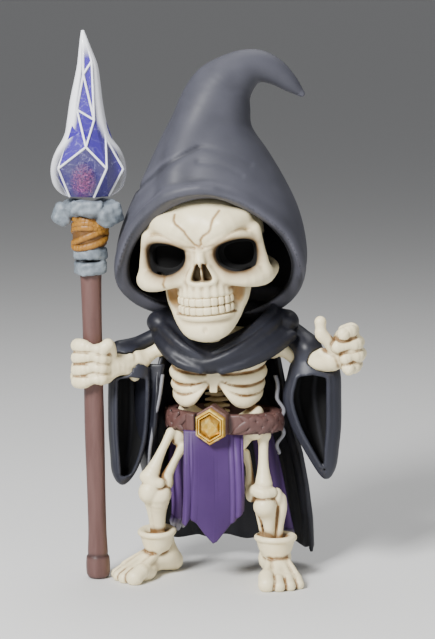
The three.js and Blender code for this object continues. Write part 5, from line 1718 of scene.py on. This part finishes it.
@dataclass
class Cape:
    """The folded cape hanging from the shoulders."""

    height: Sequence[float] = (75, 66, 56, 46, 36, 26, 16, 7.6)
    middle: Sequence[float] = (3.8, 3.2, 2.8, 2.7, 3.2, 4.6, 6.4, 7.6)
    right_half: Sequence[float] = (15, 17.5, 18.8, 19.8, 20.8, 22.4, 24.6, 26)
    left_half: Sequence[float] = (15, 17.5, 19.6, 23.2, 26, 26.8, 26.6, 26)
    depth: Sequence[float] = (8.5, 11.4, 13.2, 14.4, 14.4, 14.4, 14.6, 14.8)
    back: Sequence[float] = (-1.5, -2, -2.4, -2.4, -1.6, -0.6, 0.2, 0.6)
    right_wrap: Sequence[float] = (78, 92, 108, 112, 100, 88, 82, 78)
    left_wrap: Sequence[float] = (78, 92, 96, 84, 78, 78, 80, 78)
    thick: float = 1.4
    front: Sequence[tuple[Point, Point]] = (
        ((-21.4, -1.4, 64), (-13.2, -3.4, 64)), ((-22.6, 1, 56), (-14.8, -5.4, 56)),
        ((-22.6, 2, 47), (-16.6, -6.2, 47)), ((-21.4, 3, 36), (-17.9, -4.4, 36)),
        ((-19.6, 6, 26), (-18.3, -0.6, 26)), ((-18.8, 8, 18), (-18.4, 3.4, 18)))
    lapel_right: Sequence[tuple[Point, Point]] = (
        ((-14.2, -4.2, 61), (-13.5, -3.9, 61)), ((-15.2, -6.1, 54), (-14.5, -5.8, 54)),
        ((-16.7, -6.9, 47), (-16, -6.6, 47)), ((-18, -5.4, 38), (-17.4, -5.1, 38)),
        ((-18.4, -2.6, 30), (-17.9, -2.2, 30)))
    lapel_left: Sequence[tuple[Point, Point]] = (
        ((19.4, -5.3, 61), (20.3, -5.4, 61)), ((20.6, -7.2, 54), (21.5, -7.3, 54)),
        ((21.5, -8.1, 48), (22.4, -8, 48)), ((20.9, -7.4, 42), (21.8, -7.2, 42)),
        ((20, -5.4, 37), (20.6, -5, 37)))

    def grid(self) -> Array:
        """The cloth's middle surface."""
        u, v = np.meshgrid(np.linspace(0, 1, 150), np.linspace(0, 1, 90), indexing="ij")
        right = u < 0.5
        turn = (2 * u - 1) * np.radians(np.where(right, along(self.right_wrap, v), along(self.left_wrap, v)))
        ease = v ** 0.8
        fold = (1 + 0.05 * ease * np.cos(turn * 7 + 0.6) + 0.022 * ease * np.cos(turn * 13 + 2.2 + 1.5 * v)
                + 0.012 * ease * np.cos(turn * 23 + 1 + 2 * v))
        a = np.where(right, along(self.right_half, v), along(self.left_half, v)) * fold
        b = along(self.depth, v) * fold
        skirt = v ** 6 * (1.2 - 3.6 * u) + v ** 12 * 0.5 * np.cos(u * 40)
        return np.stack([along(self.middle, v) + a * np.sin(turn), along(self.back, v) + b * np.cos(turn),
                         along(self.height, v) + skirt], -1)

    def build(self, robe: Finish) -> None:
        """Makes the cape."""
        skin = sheet(self.grid(), self.thick)
        half = len(skin.points) // 2
        share = (skin.points[:, 2] - self.height[-1]) / (self.height[0] - self.height[-1])
        centre = np.stack([along(self.middle[::-1], share), np.full(len(share), -2.0)], 1)
        away = np.linalg.norm(skin.points[:, :2] - centre, axis=1)
        near = away[:half] < away[half:]
        # painted shade on the cape's inner face
        skin.values["inside"] = np.concatenate([near, ~near]) * 0.35
        settle(as_object("cape_form", skin, robe), ["cape"])
        settle(as_object("robe_front", self.panel(self.front), robe), [])
        lapels = (("lapel_right", self.lapel_right, 0.0), ("lapel_left", self.lapel_left, 0.7))
        for label, edge, waves in lapels:
            strip = self.panel(edge, waves, 0.6)
            strip.values["pale"] = np.full(len(strip.points), 0.3)
            settle(as_object(label, strip, robe), [])

    def panel(self, rows: Sequence[tuple[Point, Point]], waves: float = 0.0, thick: float = 0.9) -> Skin:
        """A strip of cloth between two lines, each row its two ends from the top down."""
        left, right = (smooth_line([row[k] for row in rows], 12) for k in (0, 1))
        u = np.linspace(0, 1, 10)[:, None, None]
        grid = left[None] * (1 - u) + right[None] * u
        v = np.linspace(0, 1, len(left))
        grid[..., 0] += waves * np.sin(v * 21) * np.clip(v * 4, 0, 1)
        grid[..., 1] -= 0.5 * np.sin(u[..., 0] * math.pi) * (1 + 0.5 * np.sin(v * 9))
        return sheet(grid, thick)


@dataclass
class FrontCloth:
    """The pleated loincloth, its hem torn to a point."""

    hem: Line = ((0, 18.6), (0.05, 17.6), (0.09, 19.2), (0.125, 23.2), (0.155, 19.4), (0.24, 18.4),
                 (0.38, 14.9), (0.50, 12.4), (0.56, 12.9), (0.76, 17.4), (1, 21.6))
    pleats: Line = (
        # place across the cloth, width and height of each fold
        (0.03, 0.06, 0.7), (0.16, 0.05, 0.15), (0.10, 0.025, -0.4), (0.79, 0.028, 0.7), (0.835, 0.016, -0.5),
        (0.89, 0.04, 1), (0.99, 0.03, 0.5), (0.945, 0.02, -0.4))
    top: float = 45.8
    thick: float = 1.3

    def grid(self) -> Array:
        """The cloth's middle surface."""
        u, v = np.meshgrid(np.linspace(0, 1, 110), np.linspace(0, 1, 90), indexing="ij")
        hem = np.array(self.hem)
        z = self.top + (np.interp(u, hem[:, 0], hem[:, 1]) - self.top) * v
        x = -7.4 + 17.4 * u + 0.7 * v * (u - 0.5) + 0.5 * v * np.sin(v * 3 + 0.4)
        ease = np.clip(v * 3, 0, 1)

        def pleat(at: float, wide: float, deep: float) -> Array:
            """A raised fold."""
            return 0.6 * deep * fading(u - at - 0.03 * v, wide) * ease

        out = sum(pleat(*row) for row in self.pleats)
        hang = (0.35 * fading(u - 0.45, 0.25) * np.cos(v * 9) * (1 - v)
                + 0.25 * np.cos(u * 9 - v * 4) * v)
        belly = (2.2 + 7 * (1 - v) ** 3) * (u - 0.45) ** 2
        y = -14.7 - 2.9 * np.sin(v * 2.2) - out - hang + belly + 0.05 * (x - 1)
        return np.stack([x, y, z], -1)

    def build(self, purple: Finish) -> None:
        """Makes the loincloth."""
        skin = sheet(self.grid(), self.thick)
        skin.values["wash"] = skin.values["wash"] * 0.45
        settle(as_object("loincloth_form", skin, purple), ["loincloth"])


@dataclass
class HipCloth:
    """A narrow cloth behind a leg, its hem curled and torn and painted paler as a highlight."""

    side: Side
    top: Point
    foot: Point
    width: tuple[float, float]
    sway: float

    @classmethod
    def make(cls, side: Side) -> "HipCloth":
        """The cloth of one side."""
        if side is Side.RIGHT:
            return cls(side, (-6.8, 5.6, 46.8), (-11.2, 4.6, 12.6), (5, 4.4), -1.6)
        return cls(side, (14.6, 2.6, 46.8), (22, 2.6, 9.4), (6, 9.5), 0.5)

    def grid(self) -> Array:
        """The cloth's middle surface."""
        u, v = np.meshgrid(np.linspace(0, 1, 40), np.linspace(0, 1, 90), indexing="ij")
        (x0, y0, z0), (x1, y1, z1) = self.top, self.foot
        width = self.width[0] + (self.width[1] - self.width[0]) * v
        x = x0 + (x1 - x0) * v + (u - 0.5) * width + self.sway * np.sin(v * 5)
        curl = np.clip((v - 0.93) / 0.07, 0, 1) ** 2
        waves = 0.7 * np.sin(v * 5) + 0.5 * np.cos(u * 6) + 0.35 * np.cos(u * 14 + v * 3) * v
        y = y0 + (y1 - y0) * v + waves - 1.6 * curl
        z = z0 + (z1 - z0) * v + 2.4 * v * np.abs(u - 0.55) + 0.7 * v ** 8 * np.cos(u * 17)
        return np.stack([x, y, z], -1)

    def build(self, purple: Finish) -> None:
        """Makes the cloth."""
        skin = sheet(self.grid(), 1.2)
        # pale hem: a painted highlight where the torn edges catch the light
        skin.values["pale"] = np.clip((self.foot[2] + 3.0 - skin.points[:, 2]) / 2.0, 0, 1) * 0.6
        name = f"hip_cloth_{self.side.value}"
        settle(as_object(f"{name}_form", skin, purple), [name])


BELT_PLACE = Place((4.6, -3.2, 47.6), yaw=-16.0)


@dataclass
class Belt:
    """The wide leather belt with crossing straps and a six-sided plate behind the buckle."""

    place: Place = BELT_PLACE
    half: tuple[float, float] = (17.2, 11.4)
    height: float = 6.2

    def form(self) -> Form:
        """The band and the plate."""
        a, b = self.half

        def band(p: Array) -> Array:
            """The band of leather, its edges rounded and its face gently lobed."""
            share = np.sqrt((p[:, 0] / a) ** 2 + (p[:, 1] / b) ** 2)
            flat = np.hypot(p[:, 0], p[:, 1])
            side = flat * (1 - 1 / np.maximum(share, 0.2))
            turn = np.arctan2(p[:, 0], -p[:, 1])
            bulge = 0.25 * np.cos(turn * 9)
            q = np.stack([np.abs(side + 1.2 - bulge) - 0.9, np.abs(p[:, 2]) - self.height / 2 + 0.7], 1)
            return np.hypot(np.maximum(q[:, 0], 0), np.maximum(q[:, 1], 0)) + np.minimum(q.max(1), 0) - 0.6

        ring = Form(band, np.zeros(3), math.hypot(a, self.height) + 2)
        plate = prism([(x * 5.7, z * 5.7 + 0.5) for x, z in hexagon()], -14.2, -10.4, 1)
        strap = slab((-6.6, -11.6, 0), (1.7, 1.6, 3.3), 0.7, (0, 0, -18))
        return joined([ring, sized(plate, 0.1), strap], 0.3).placed(self.place)

    def strap(self) -> Skin:
        """One short crossing strap, curved along X and facing -Y."""
        line = [(-3.6, 0.7, -1.9), (-1.4, -0.1, -0.7), (1.4, -0.1, 0.8), (3.6, 0.7, 2)]
        form = rod(line, [0.55, 1.15, 1.15, 0.55])
        flat = Form(lambda p: form(p * [1, 1.7, 0.8]) / 1.7, form.centre, form.reach * 1.8)
        skin = skinned(flat, (-5, -2, -4.4), (5, 2, 4.4), 0.5 / FINE)
        # darker towards its back: painted shade where the strap lies against the belt
        skin.values = {"wash": np.clip(0.13 + skin.points[:, 1], 0, 1)}
        return skin

    def build(self, leather: Finish) -> None:
        """Makes the belt."""
        skin = bone_skin(self.form(), (-15, -19, 40), (24, 12, 56), 0.4, 1.2)
        settle(as_object("belt_form", skin, leather), ["belt"])
        (a, b), steps, turned_by = self.half, 160, self.place.matrix().T
        level, ones = np.zeros(steps), np.ones(steps)
        upward = np.tile([0, 0, 1.0], (steps, 1))
        for label, flip, low, high, count in (("belt_straps_one", 1.0, 32, 320, 19),
                                              ("belt_straps_two", -1.0, 40, 312, 18)):
            turn = np.radians(np.linspace(low, high, steps))
            line = np.stack([(a + 0.35) * np.sin(turn), -(b + 0.35) * np.cos(turn), level], 1)
            facing = -np.stack([np.sin(turn) / a, -np.cos(turn) / b, level], 1) @ turned_by
            strand = Strand(count, spread=0.06, seed=9)
            piece = strand.build(label, self.place.out(line), facing, upward, self.strap(), leather,
                                 np.stack([flip * ones, ones, ones], 1))
            if flip < 0:
                piece.data.flip_normals()
            settle(piece, [])


def hexagon() -> list[Point]:
    """Corners of a slightly narrow six-sided outline of radius 1."""
    turns = [math.pi * (2 * i + 1) / 6 + math.pi / 3 for i in range(6)]
    return [(0.92 * math.cos(t), math.sin(t)) for t in turns]


@dataclass
class Buckle:
    """The gold six-sided buckle: a double frame round plain raised facets."""

    place: Place = BELT_PLACE

    def rings(self, rows: Line) -> tuple[Array, list[Array]]:
        """Six-sided rings, each a radius and a depth, joined and closed at the end."""
        corners = np.array(hexagon())
        points = [np.stack([r * corners[:, 0], np.full(6, y), r * corners[:, 1]], 1) for r, y in rows]
        return np.concatenate(points), [np.arange(6) + 6 * k for k in range(len(rows))]

    def skin(self) -> Skin:
        """The frame and the facets as flat faces."""
        rows = [(5.5, -13.9), (5.5, -15.4), (5.2, -16), (4.8, -16.2), (4.55, -15.8), (4.3, -16.15),
                (4, -16.15), (3.75, -15.3)]
        points, rings = self.rings(rows)
        top = np.array([[0, -16.6, 2.5], [2.1, -16.8, 0.2], [-2, -16.7, 0], [0.1, -17.7, -0.3],
                        [0, -16.5, -2.6], [0, -13.9, 0]])
        start = len(points)
        points = np.vstack([points, top])
        r = rings[-1]
        n, e, w, c, s = (start + k for k in range(5))
        inner = [(r[0], r[1], n), (r[1], r[2], w), (r[1], w, n), (r[2], r[3], w), (r[3], r[4], s),
                 (r[3], s, w), (r[4], r[5], e), (r[4], e, s), (r[5], r[0], e), (r[0], n, e), (n, w, c),
                 (w, s, c), (s, e, c), (e, n, c)]
        back = [(rings[0][(k + 1) % 6], rings[0][k], start + 5) for k in range(6)]
        # painted shade on the frame's inner step and round the facets
        values = np.zeros(len(points))
        values[rings[4]] = 0.9
        values[rings[-1]] = 0.8
        faces = [ring_faces(np.array(rings)), np.array(inner), np.array(back)]
        return outward(Skin(self.place.out(points), faces, {"wash": values}))

    def build(self, gold: Finish) -> None:
        """Makes the buckle."""
        settle(as_object("buckle_form", self.skin(), gold, smooth=False), ["buckle"])


STAFF_FOOT = (-33.3, -9, 0)
STAFF_TOP = (-35.2, -9, 114)


@dataclass
class Staff:
    """The wooden staff, its stone ferrule, leather wrap, claw stones and faceted crystal."""

    shaft: Line = ((0, 2.3), (0.5, 3.1), (1.6, 3.5), (4, 3.6), (6.4, 3.45), (7.2, 3.1), (9, 3.0), (16, 2.75),
                   (30, 2.8), (44, 2.95), (60, 2.85), (78, 2.9), (88, 3.05), (91.8, 3.2))
    ferrule: Line = ((91.8, 3.3), (92.2, 4.4), (93.2, 4.8), (95.4, 4.7), (96, 4.25), (96.6, 4.9),
                     (98.8, 5.15), (99.8, 4.6), (100, 3.6))
    wrap: Line = ((100, 3.9), (100.4, 4.5), (101.4, 4.9), (104.4, 5.1), (107.4, 5), (109.4, 4.7), (109.8, 4))
    strips: Line = (
        # start in radians, tilt and height of each strip of the wrap
        (0.2, 1.5, 101.6), (2.4, -1.7, 103), (4, 1.3, 104.4), (0.9, -1.4, 105.6), (3.1, 1.6, 106.8),
        (5.2, -1.2, 107.8))
    groove: float = 7.0
    rocks: Sequence[tuple[Point, Point, Point]] = (
        # middle, half sizes and turn of each claw stone
        ((-43, -9.8, 109.8), (3, 3.4, 3.5), (0, 20, 10)), ((-29.6, -12, 110), (4.2, 3.6, 3.5), (10, -20, 30)),
        ((-31, -3.6, 110), (3.8, 3.2, 3.6), (0, 10, 60)), ((-40.2, -3.4, 110.2), (3.4, 3, 3.4), (20, 0, 0)))

    def wood(self, hide: Finish) -> None:
        """The shaft."""
        def grain(turn: Array, z: Array) -> Array:
            """Long ripples, and a groove over the foot."""
            ripple = 0.05 * np.sin(turn * 3 + z * 0.11) + 0.04 * np.sin(turn * 7 + 1.3 * np.sin(z * 0.07))
            return ripple - 0.12 * fading(z - self.groove, 0.5)

        skin = turned((STAFF_FOOT, STAFF_TOP), self.shaft, 40, 8, grain)
        z = skin.points[:, 2] = np.maximum(skin.points[:, 2], 0)
        # darker in the groove over the foot and over the bottom millimetre: painted shade in the groove and
        # where the staff meets the floor
        wash = fading(z - self.groove, 0.7) * 0.7 + np.clip(1 - z, 0, 1) * 0.4
        skin.values = {"wash": wash}
        settle(as_object("staff_shaft_form", skin, hide), ["staff_shaft"])

    def axis(self, z: float) -> Array:
        """The point of the staff's axis at a height."""
        share = z / STAFF_TOP[2]
        return np.array(STAFF_FOOT) * (1 - share) + np.array(STAFF_TOP) * share

    def chipped(self, form: Form, grain: float) -> Form:
        """A stone with a hewn surface."""
        def distance(p: Array) -> Array:
            """The stone's own distance, roughened."""
            x, y, z = p.T
            rough = (np.sin(x * 1.1 + 1.7 * np.sin(z * 0.7)) * np.sin(y * 1.3 + 0.6)
                     * np.sin(z * 1.2 + 1.1 * np.sin(x * 0.9)))
            return form(p) + grain * rough

        return Form(distance, form.centre, form.reach + grain)

    def stones(self, stone: Finish) -> None:
        """The ferrule and the setting."""
        lower = [slab(self.axis(94.0), (4.9, 4.9, 2), 1.3, (3, -4, 20)),
                 slab(self.axis(98.0), (5.15, 5.15, 2), 1.3, (-3, 4, 50))]
        barrel = Form(lambda p: np.hypot(p[:, 0] - self.axis(96)[0], p[:, 1] + 9) - 5.1, self.axis(96), 60)
        form = self.chipped(kept(joined(lower, 0.5), barrel, 1.2), 0.22)
        skin = bone_skin(form, self.axis(96) - [7, 7, 5], self.axis(96) + [7, 7, 5], 0.34, 1.3)
        settle(as_object("ferrule_form", skin, stone), ["staff_ferrule"])
        turns = np.linspace(0, 2 * math.pi, 12, endpoint=False)
        ring = self.axis(111.6) + np.stack([5.6 * np.sin(turns), -5.6 * np.cos(turns),
                                            0.5 * np.cos(3 * turns)], 1)
        brow = slab(self.axis(111.8) + [-0.4, -5.6, 0.2], (4.6, 1.7, 1.9), 0.9, (0, 3, 0))
        crown = joined([rod(ring, [1.9] * 12, 2, closed=True), brow], 0.8)
        base = ball(self.axis(110.6), (6.6, 6.6, 2.6))
        claws = [slab(at, np.array(radii) * 0.94, 1.9, turn) for at, radii, turn in self.rocks]
        form = self.chipped(joined([joined([crown, base], 0.8), *claws], 0.5), 0.3)
        skin = bone_skin(form, (-49, -18, 103), (-22, 2, 118), 0.36, 1.3)
        settle(as_object("setting_form", skin, stone), ["staff_setting"])

    def leather(self, ochre: Finish) -> None:
        """The wrap: a core with crossing strips round it."""
        skin = turned((STAFF_FOOT, STAFF_TOP), self.wrap, 40, 5, lambda t, z: 0.12 * np.sin(t * 5 + z * 1.7))
        # the core is darkened all over, as painted shade between the crossing strips
        skin.values = {"wash": np.full(len(skin.points), 0.7)}
        settle(as_object("wrap_core", skin, ochre), ["staff_wrap"])
        strip = rod([(-1.3, 0.25, 0), (0, 0, 0), (1.3, 0.25, 0)], [0.95, 1, 0.95], 2)
        flat = Form(lambda p: strip(p * [1, 2, 0.95]) / 2.0, strip.centre, strip.reach * 2)
        item = skinned(flat, (-2.6, -1.2, -1.4), (2.6, 1.2, 1.4), 0.4 / FINE)
        # each strip darker towards its edges: painted shade where the strips overlap
        item.values = {"wash": np.clip(np.abs(item.points[:, 2]) * 0.9 - 0.25, 0, 1)}
        for k, (start, tilt, height) in enumerate(self.strips):
            turn = start + np.linspace(0, 2 * math.pi * 0.96, 90)
            z = height + tilt * np.sin(turn - start - 0.5) * 1.15
            middle = np.array([self.axis(h) for h in z])
            radius = 5.0 + 0.12 * np.sin(turn * 3 + k)
            line = middle + np.stack([radius * np.sin(turn), -radius * np.cos(turn), np.zeros(90)], 1)
            slope = np.gradient(line, axis=0)
            slope /= np.linalg.norm(slope, axis=1, keepdims=True)
            facing = -np.stack([np.sin(turn), -np.cos(turn), np.zeros(90)], 1)
            upward = np.cross(slope, facing)
            upward *= np.sign(upward[:, 2:3])
            strand = Strand(26, spread=0.03, seed=20 + k)
            piece = strand.build(f"wrap_strip_{k}", line, facing, upward, item, ochre)
            settle(piece, [])


@dataclass
class Crystal:
    """The staff's crystal: a faceted violet heart with white edges inside a clear shell with a painted milky
    reflection on its flanks.
    """

    axis: tuple[float, float] = (-35.4, -9)
    rose_at: Point = (-36.4, -18.3, 120.2)
    rose_size: Point = (4, 0.55, 5.4)
    bead: float = 0.34
    outline: Line = (
        # height, shift of the middle, half width
        (114.8, 0, 5.6), (115.6, 0, 8), (118, 0.1, 10.4), (121.6, 0.1, 11.3), (125.2, 0.1, 10.9),
        (128.6, 0.1, 9.5), (131.2, -0.1, 7.7), (133.8, -0.2, 6.5), (138, -0.4, 5.6), (143.2, -0.4, 4.75),
        (149, -0.1, 3.75), (153.4, 0, 2.95), (157.8, -0.6, 1.85), (160.8, -1, 1.1), (163.3, -1.3, 0.4))
    rings: Sequence[Line] = (
        # angle, height and distance from the axis of each corner
        ((-148, 115, 6.2), (-72, 115, 6.2), (-15, 115, 6.2), (45, 115, 6.2), (110, 115, 6.2),
         (170, 115, 6.2)),
        ((-146, 123.4, 10.2), (-56, 123.6, 10.2), (-8, 123, 10.3), (55, 123.8, 10.2), (120, 123.2, 10.2),
         (182, 122.4, 10.4)),
        ((-91, 129.8, 8.2), (-30, 132.2, 6.3), (25, 130.8, 7), (88, 130, 7.8), (150, 131.6, 6.3),
         (207, 131, 6.4)),
        ((-126, 140.4, 4.3), (-58, 137.4, 4.6), (0, 141.2, 4.2), (60, 138.6, 4.5), (120, 140.8, 4.3),
         (180, 138, 4.7)),
        ((-110, 150.6, 2.9), (-50, 154.4, 2.3), (10, 149.6, 3), (70, 152.8, 2.4), (130, 150.4, 2.9),
         (190, 153.6, 2.3)),
        ((-110, 160.2, 0.7), (-50, 160.4, 0.7), (10, 160.2, 0.7), (70, 160.4, 0.7), (130, 160.2, 0.7),
         (190, 160.4, 0.7)))

    def heart(self) -> tuple[Skin, list[tuple[int, int]]]:
        """The faceted heart and the edges that carry a white line."""
        angle, z, r = np.array(self.rings).reshape(-1, 3).T
        heights, shifts = np.array(self.outline).T[:2]
        turn, shift = np.radians(angle), np.interp(z, heights, shifts)
        points = np.stack([self.axis[0] + shift + r * np.cos(turn), self.axis[1] + r * np.sin(turn), z], 1)

        def at(ring: int, i: int) -> int:
            """A corner's number."""
            return 6 * ring + i % 6

        fives = [[at(0, i), at(0, i + 1), at(1, i + 1), at(2, i), at(1, i)] for i in range(6)]
        fours = [[at(1, i + 1), at(2, i + 1), at(3, i + 1), at(2, i)] for i in range(6)]
        fours += [[at(k, i), at(k, i + 1), at(k + 1, i + 1), at(k + 1, i)] for k in (3, 4) for i in range(6)]
        threes = [[at(2, i), at(3, i + 1), at(3, i)] for i in range(6)]
        ends = [[at(5, i) for i in range(6)], [at(0, i) for i in range(5, -1, -1)]]
        joins = ((1, 2, 0), (2, 1, 1), (1, 0, 0), (2, 3, 1))
        edges = [(at(a, i), at(b, i + on)) for a, b, on in joins for i in range(6)]
        edges += [(at(2, i), at(3, i)) for i in (0, 2, 4)]
        edges += [(at(k, i), at(k + 1, i)) for k in (3, 4) for i in range(6)]
        edges += [(at(3, 0), at(3, 1)), (at(3, 1), at(4, 0)), (at(4, 0), at(4, 1)), (at(3, 3), at(3, 4))]
        count = sum(len(rows) for rows in (fives, fours, threes, ends))
        shade = 0.45 + 0.45 * np.random.default_rng(11).uniform(0, 1, count)
        shade[:6] = (0, 0.3, 0.3, 0.3, 0.3, 0.4)
        faces = [np.array(f) for f in (fives, fours, threes, ends)]
        return outward(Skin(points, faces, {"shade": shade})), edges

    def glow(self) -> Skin:
        """The speckled rose cloud just under the front of the clear outside."""
        form = ball(self.rose_at, self.rose_size)
        low, high = np.array(self.rose_at) - 8, np.array(self.rose_at) + 8
        skin = skinned(form, low, high, 0.35)
        away = np.linalg.norm((skin.points - self.rose_at) / self.rose_size * [1, 0, 1], axis=1)
        # here the value only thins the rose speckles out from their middle
        skin.values = {"frost": np.clip((1 - away) * 1.5, 0, 1)}
        return skin

    def shell(self) -> Skin:
        """The clear outside."""
        rows = smooth_line(self.outline, 5)
        turn = 2 * math.pi * np.arange(56) / 56
        z = np.repeat(rows[:, :1], 56, 1)
        facet = 1 - 0.018 * np.cos(turn * 6 + z * 0.05)
        r = rows[:, 2:3] * facet
        x = self.axis[0] + rows[:, 1:2] + r * np.cos(turn)
        points = np.stack([x, self.axis[1] + r * 0.94 * np.sin(turn), z], -1).reshape(-1, 3)
        number = np.arange(len(points)).reshape(z.shape)
        # painted reflection: milky white on the flanks, where the shell is seen edge on from the front, and
        # on the tip
        side = np.abs(np.cos(turn) - 0.06)[None] + 0 * z
        slim = np.clip((z - 127) / 10, 0, 1)
        frost = np.clip((side - (0.80 - 0.33 * slim)) / 0.20, 0, 1)
        frost = np.maximum(frost, np.clip((z - 155.5) / 4, 0, 1))
        skin = Skin(points, [ring_faces(number), number[:1, ::-1], number[-1:]], {"frost": frost.ravel()})
        return outward(skin)

    def beads(self, heart: Skin, edges: list[tuple[int, int]], material: Finish) -> bpy.types.Object:
        """Thin white beads along the heart's edges, laid with geometry nodes."""
        tree = Tree("beads", {"Edges": "Geometry", "Width": "Float"})
        curve = tree.node("GeometryNodeMeshToCurve", {}, {0: tree.given["Edges"]})
        ring = tree.node("GeometryNodeCurvePrimitiveCircle", {}, {"Resolution": 6,
                                                                  "Radius": tree.given["Width"]})
        tube = tree.node("GeometryNodeCurveToMesh", {}, {"Curve": curve.outputs[0],
                                                         "Profile Curve": ring.outputs[0],
                                                         "Fill Caps": True})
        tree.close(tube.outputs[0], material)
        middle = np.array([*self.axis, 0]) * [1, 1, 0] + heart.points * [0, 0, 1]
        proud = middle + (heart.points - middle) * 1.005
        points = np.array([proud[k] for edge in edges for k in edge])
        guide = wired("crystal_edges", points, [(2 * i, 2 * i + 1) for i in range(len(edges))])
        return tree.solid(guide, {"Width": self.bead * MM}, material)

    def build(self) -> None:
        """Makes the crystal."""
        glass = Glass()
        heart, edges = self.heart()
        settle(as_object("crystal_shell", self.shell(), glass.shell()), ["staff_crystal"])
        settle(as_object("crystal_heart", heart, glass.core(), smooth=False), [])
        settle(as_object("crystal_glow", self.glow(), glass.haze()), [])
        white = Desk("crystal_white").finish(Base_Color=glass.milk, Roughness=0.3)
        settle(self.beads(heart, edges, white), [])


@dataclass(frozen=True)
class Studio:
    """The pale floor, soft lights and the camera at the photograph's viewing angle."""

    aim: Point = (2.55, 0, 77)
    lit: Point = (0, 0, 80)
    elevation: float = 8.0
    distance: float = 700.0
    pixel: float = 0.3
    rows: int = 639

    def camera(self) -> None:
        """The camera."""
        tilt = math.radians(self.elevation)
        data = bpy.data.cameras.new("camera")
        data.sensor_fit = "VERTICAL"
        data.sensor_height = 24.0
        data.lens = data.sensor_height * self.distance / (self.rows * self.pixel)
        data.clip_start, data.clip_end = 0.05, 100.0
        camera = linked("camera", data)
        offset = np.array([0, -self.distance * math.cos(tilt), self.distance * math.sin(tilt)])
        camera.location = metres(np.asarray(self.aim) + offset)
        camera.rotation_euler = (math.pi / 2 - tilt, 0, 0)
        bpy.context.scene.camera = camera

    def floor(self) -> None:
        """The floor."""
        desk = Desk("floor")
        material = desk.finish(Base_Color=(0.70, 0.70, 0.69), Roughness=0.7)
        half = 60000.0
        corners = np.array([[-half, -half, 0], [half, -half, 0], [half, half, 0], [-half, half, 0]])
        skin = Skin(corners, [np.array([[0, 1, 2, 3]])])
        as_object("floor", skin, material, smooth=False)

    def lamp(self, name: str, at: Point, size: float, power: float) -> None:
        """One soft lamp, its place and size in millimetres."""
        data = bpy.data.lights.new(name, "AREA")
        data.shape = "RECTANGLE"
        data.size = data.size_y = size * MM
        data.energy = power
        lamp = linked(name, data)
        lamp.location = metres(at)
        lamp.rotation_euler = Vector(metres(self.lit) - metres(at)).to_track_quat("-Z", "Y").to_euler()

    def build(self) -> None:
        """Makes the studio."""
        self.camera()
        self.floor()
        self.lamp("key", (-260, -400, 430), 170, 7.4)
        self.lamp("fill", (420, -420, 200), 420, 0.7)
        self.lamp("top", (60, 160, 560), 380, 1.8)
        world = bpy.data.worlds.new("studio")
        world.use_nodes = True
        sky = world.node_tree.nodes["Background"].inputs
        sky["Color"].default_value = (0.80, 0.81, 0.84, 1)
        sky["Strength"].default_value = 0.25
        bpy.context.scene.world = world


def main() -> None:
    """Builds every piece in order."""
    logging.basicConfig(level=logging.INFO, format="%(message)s")
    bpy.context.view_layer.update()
    bone = Bone().material()
    Skull().build(bone)
    Trunk().build(bone)
    for side in Side:
        Arm(side).build(bone)
        Leg.make(side).build(bone)
    # grey is the hood's cloth painted lighter, as painted light from above
    grey, robe, purple = LIT_HOOD.material(), ROBE.material(), PURPLE.material()
    Hood().build(grey)
    Cowl().build(robe)
    Cape().build(robe)
    FrontCloth().build(purple)
    for side in Side:
        Sleeve.make(side).build(robe)
        HipCloth.make(side).build(purple)
    Belt().build(LEATHER.material())
    Buckle().build(Gold().material())
    staff = Staff()
    staff.wood(WOOD.material())
    staff.stones(Stone().material())
    Crystal().build()
    staff.leather(OCHRE.material())
    Studio().build()


if __name__ == "__main__":
    main()
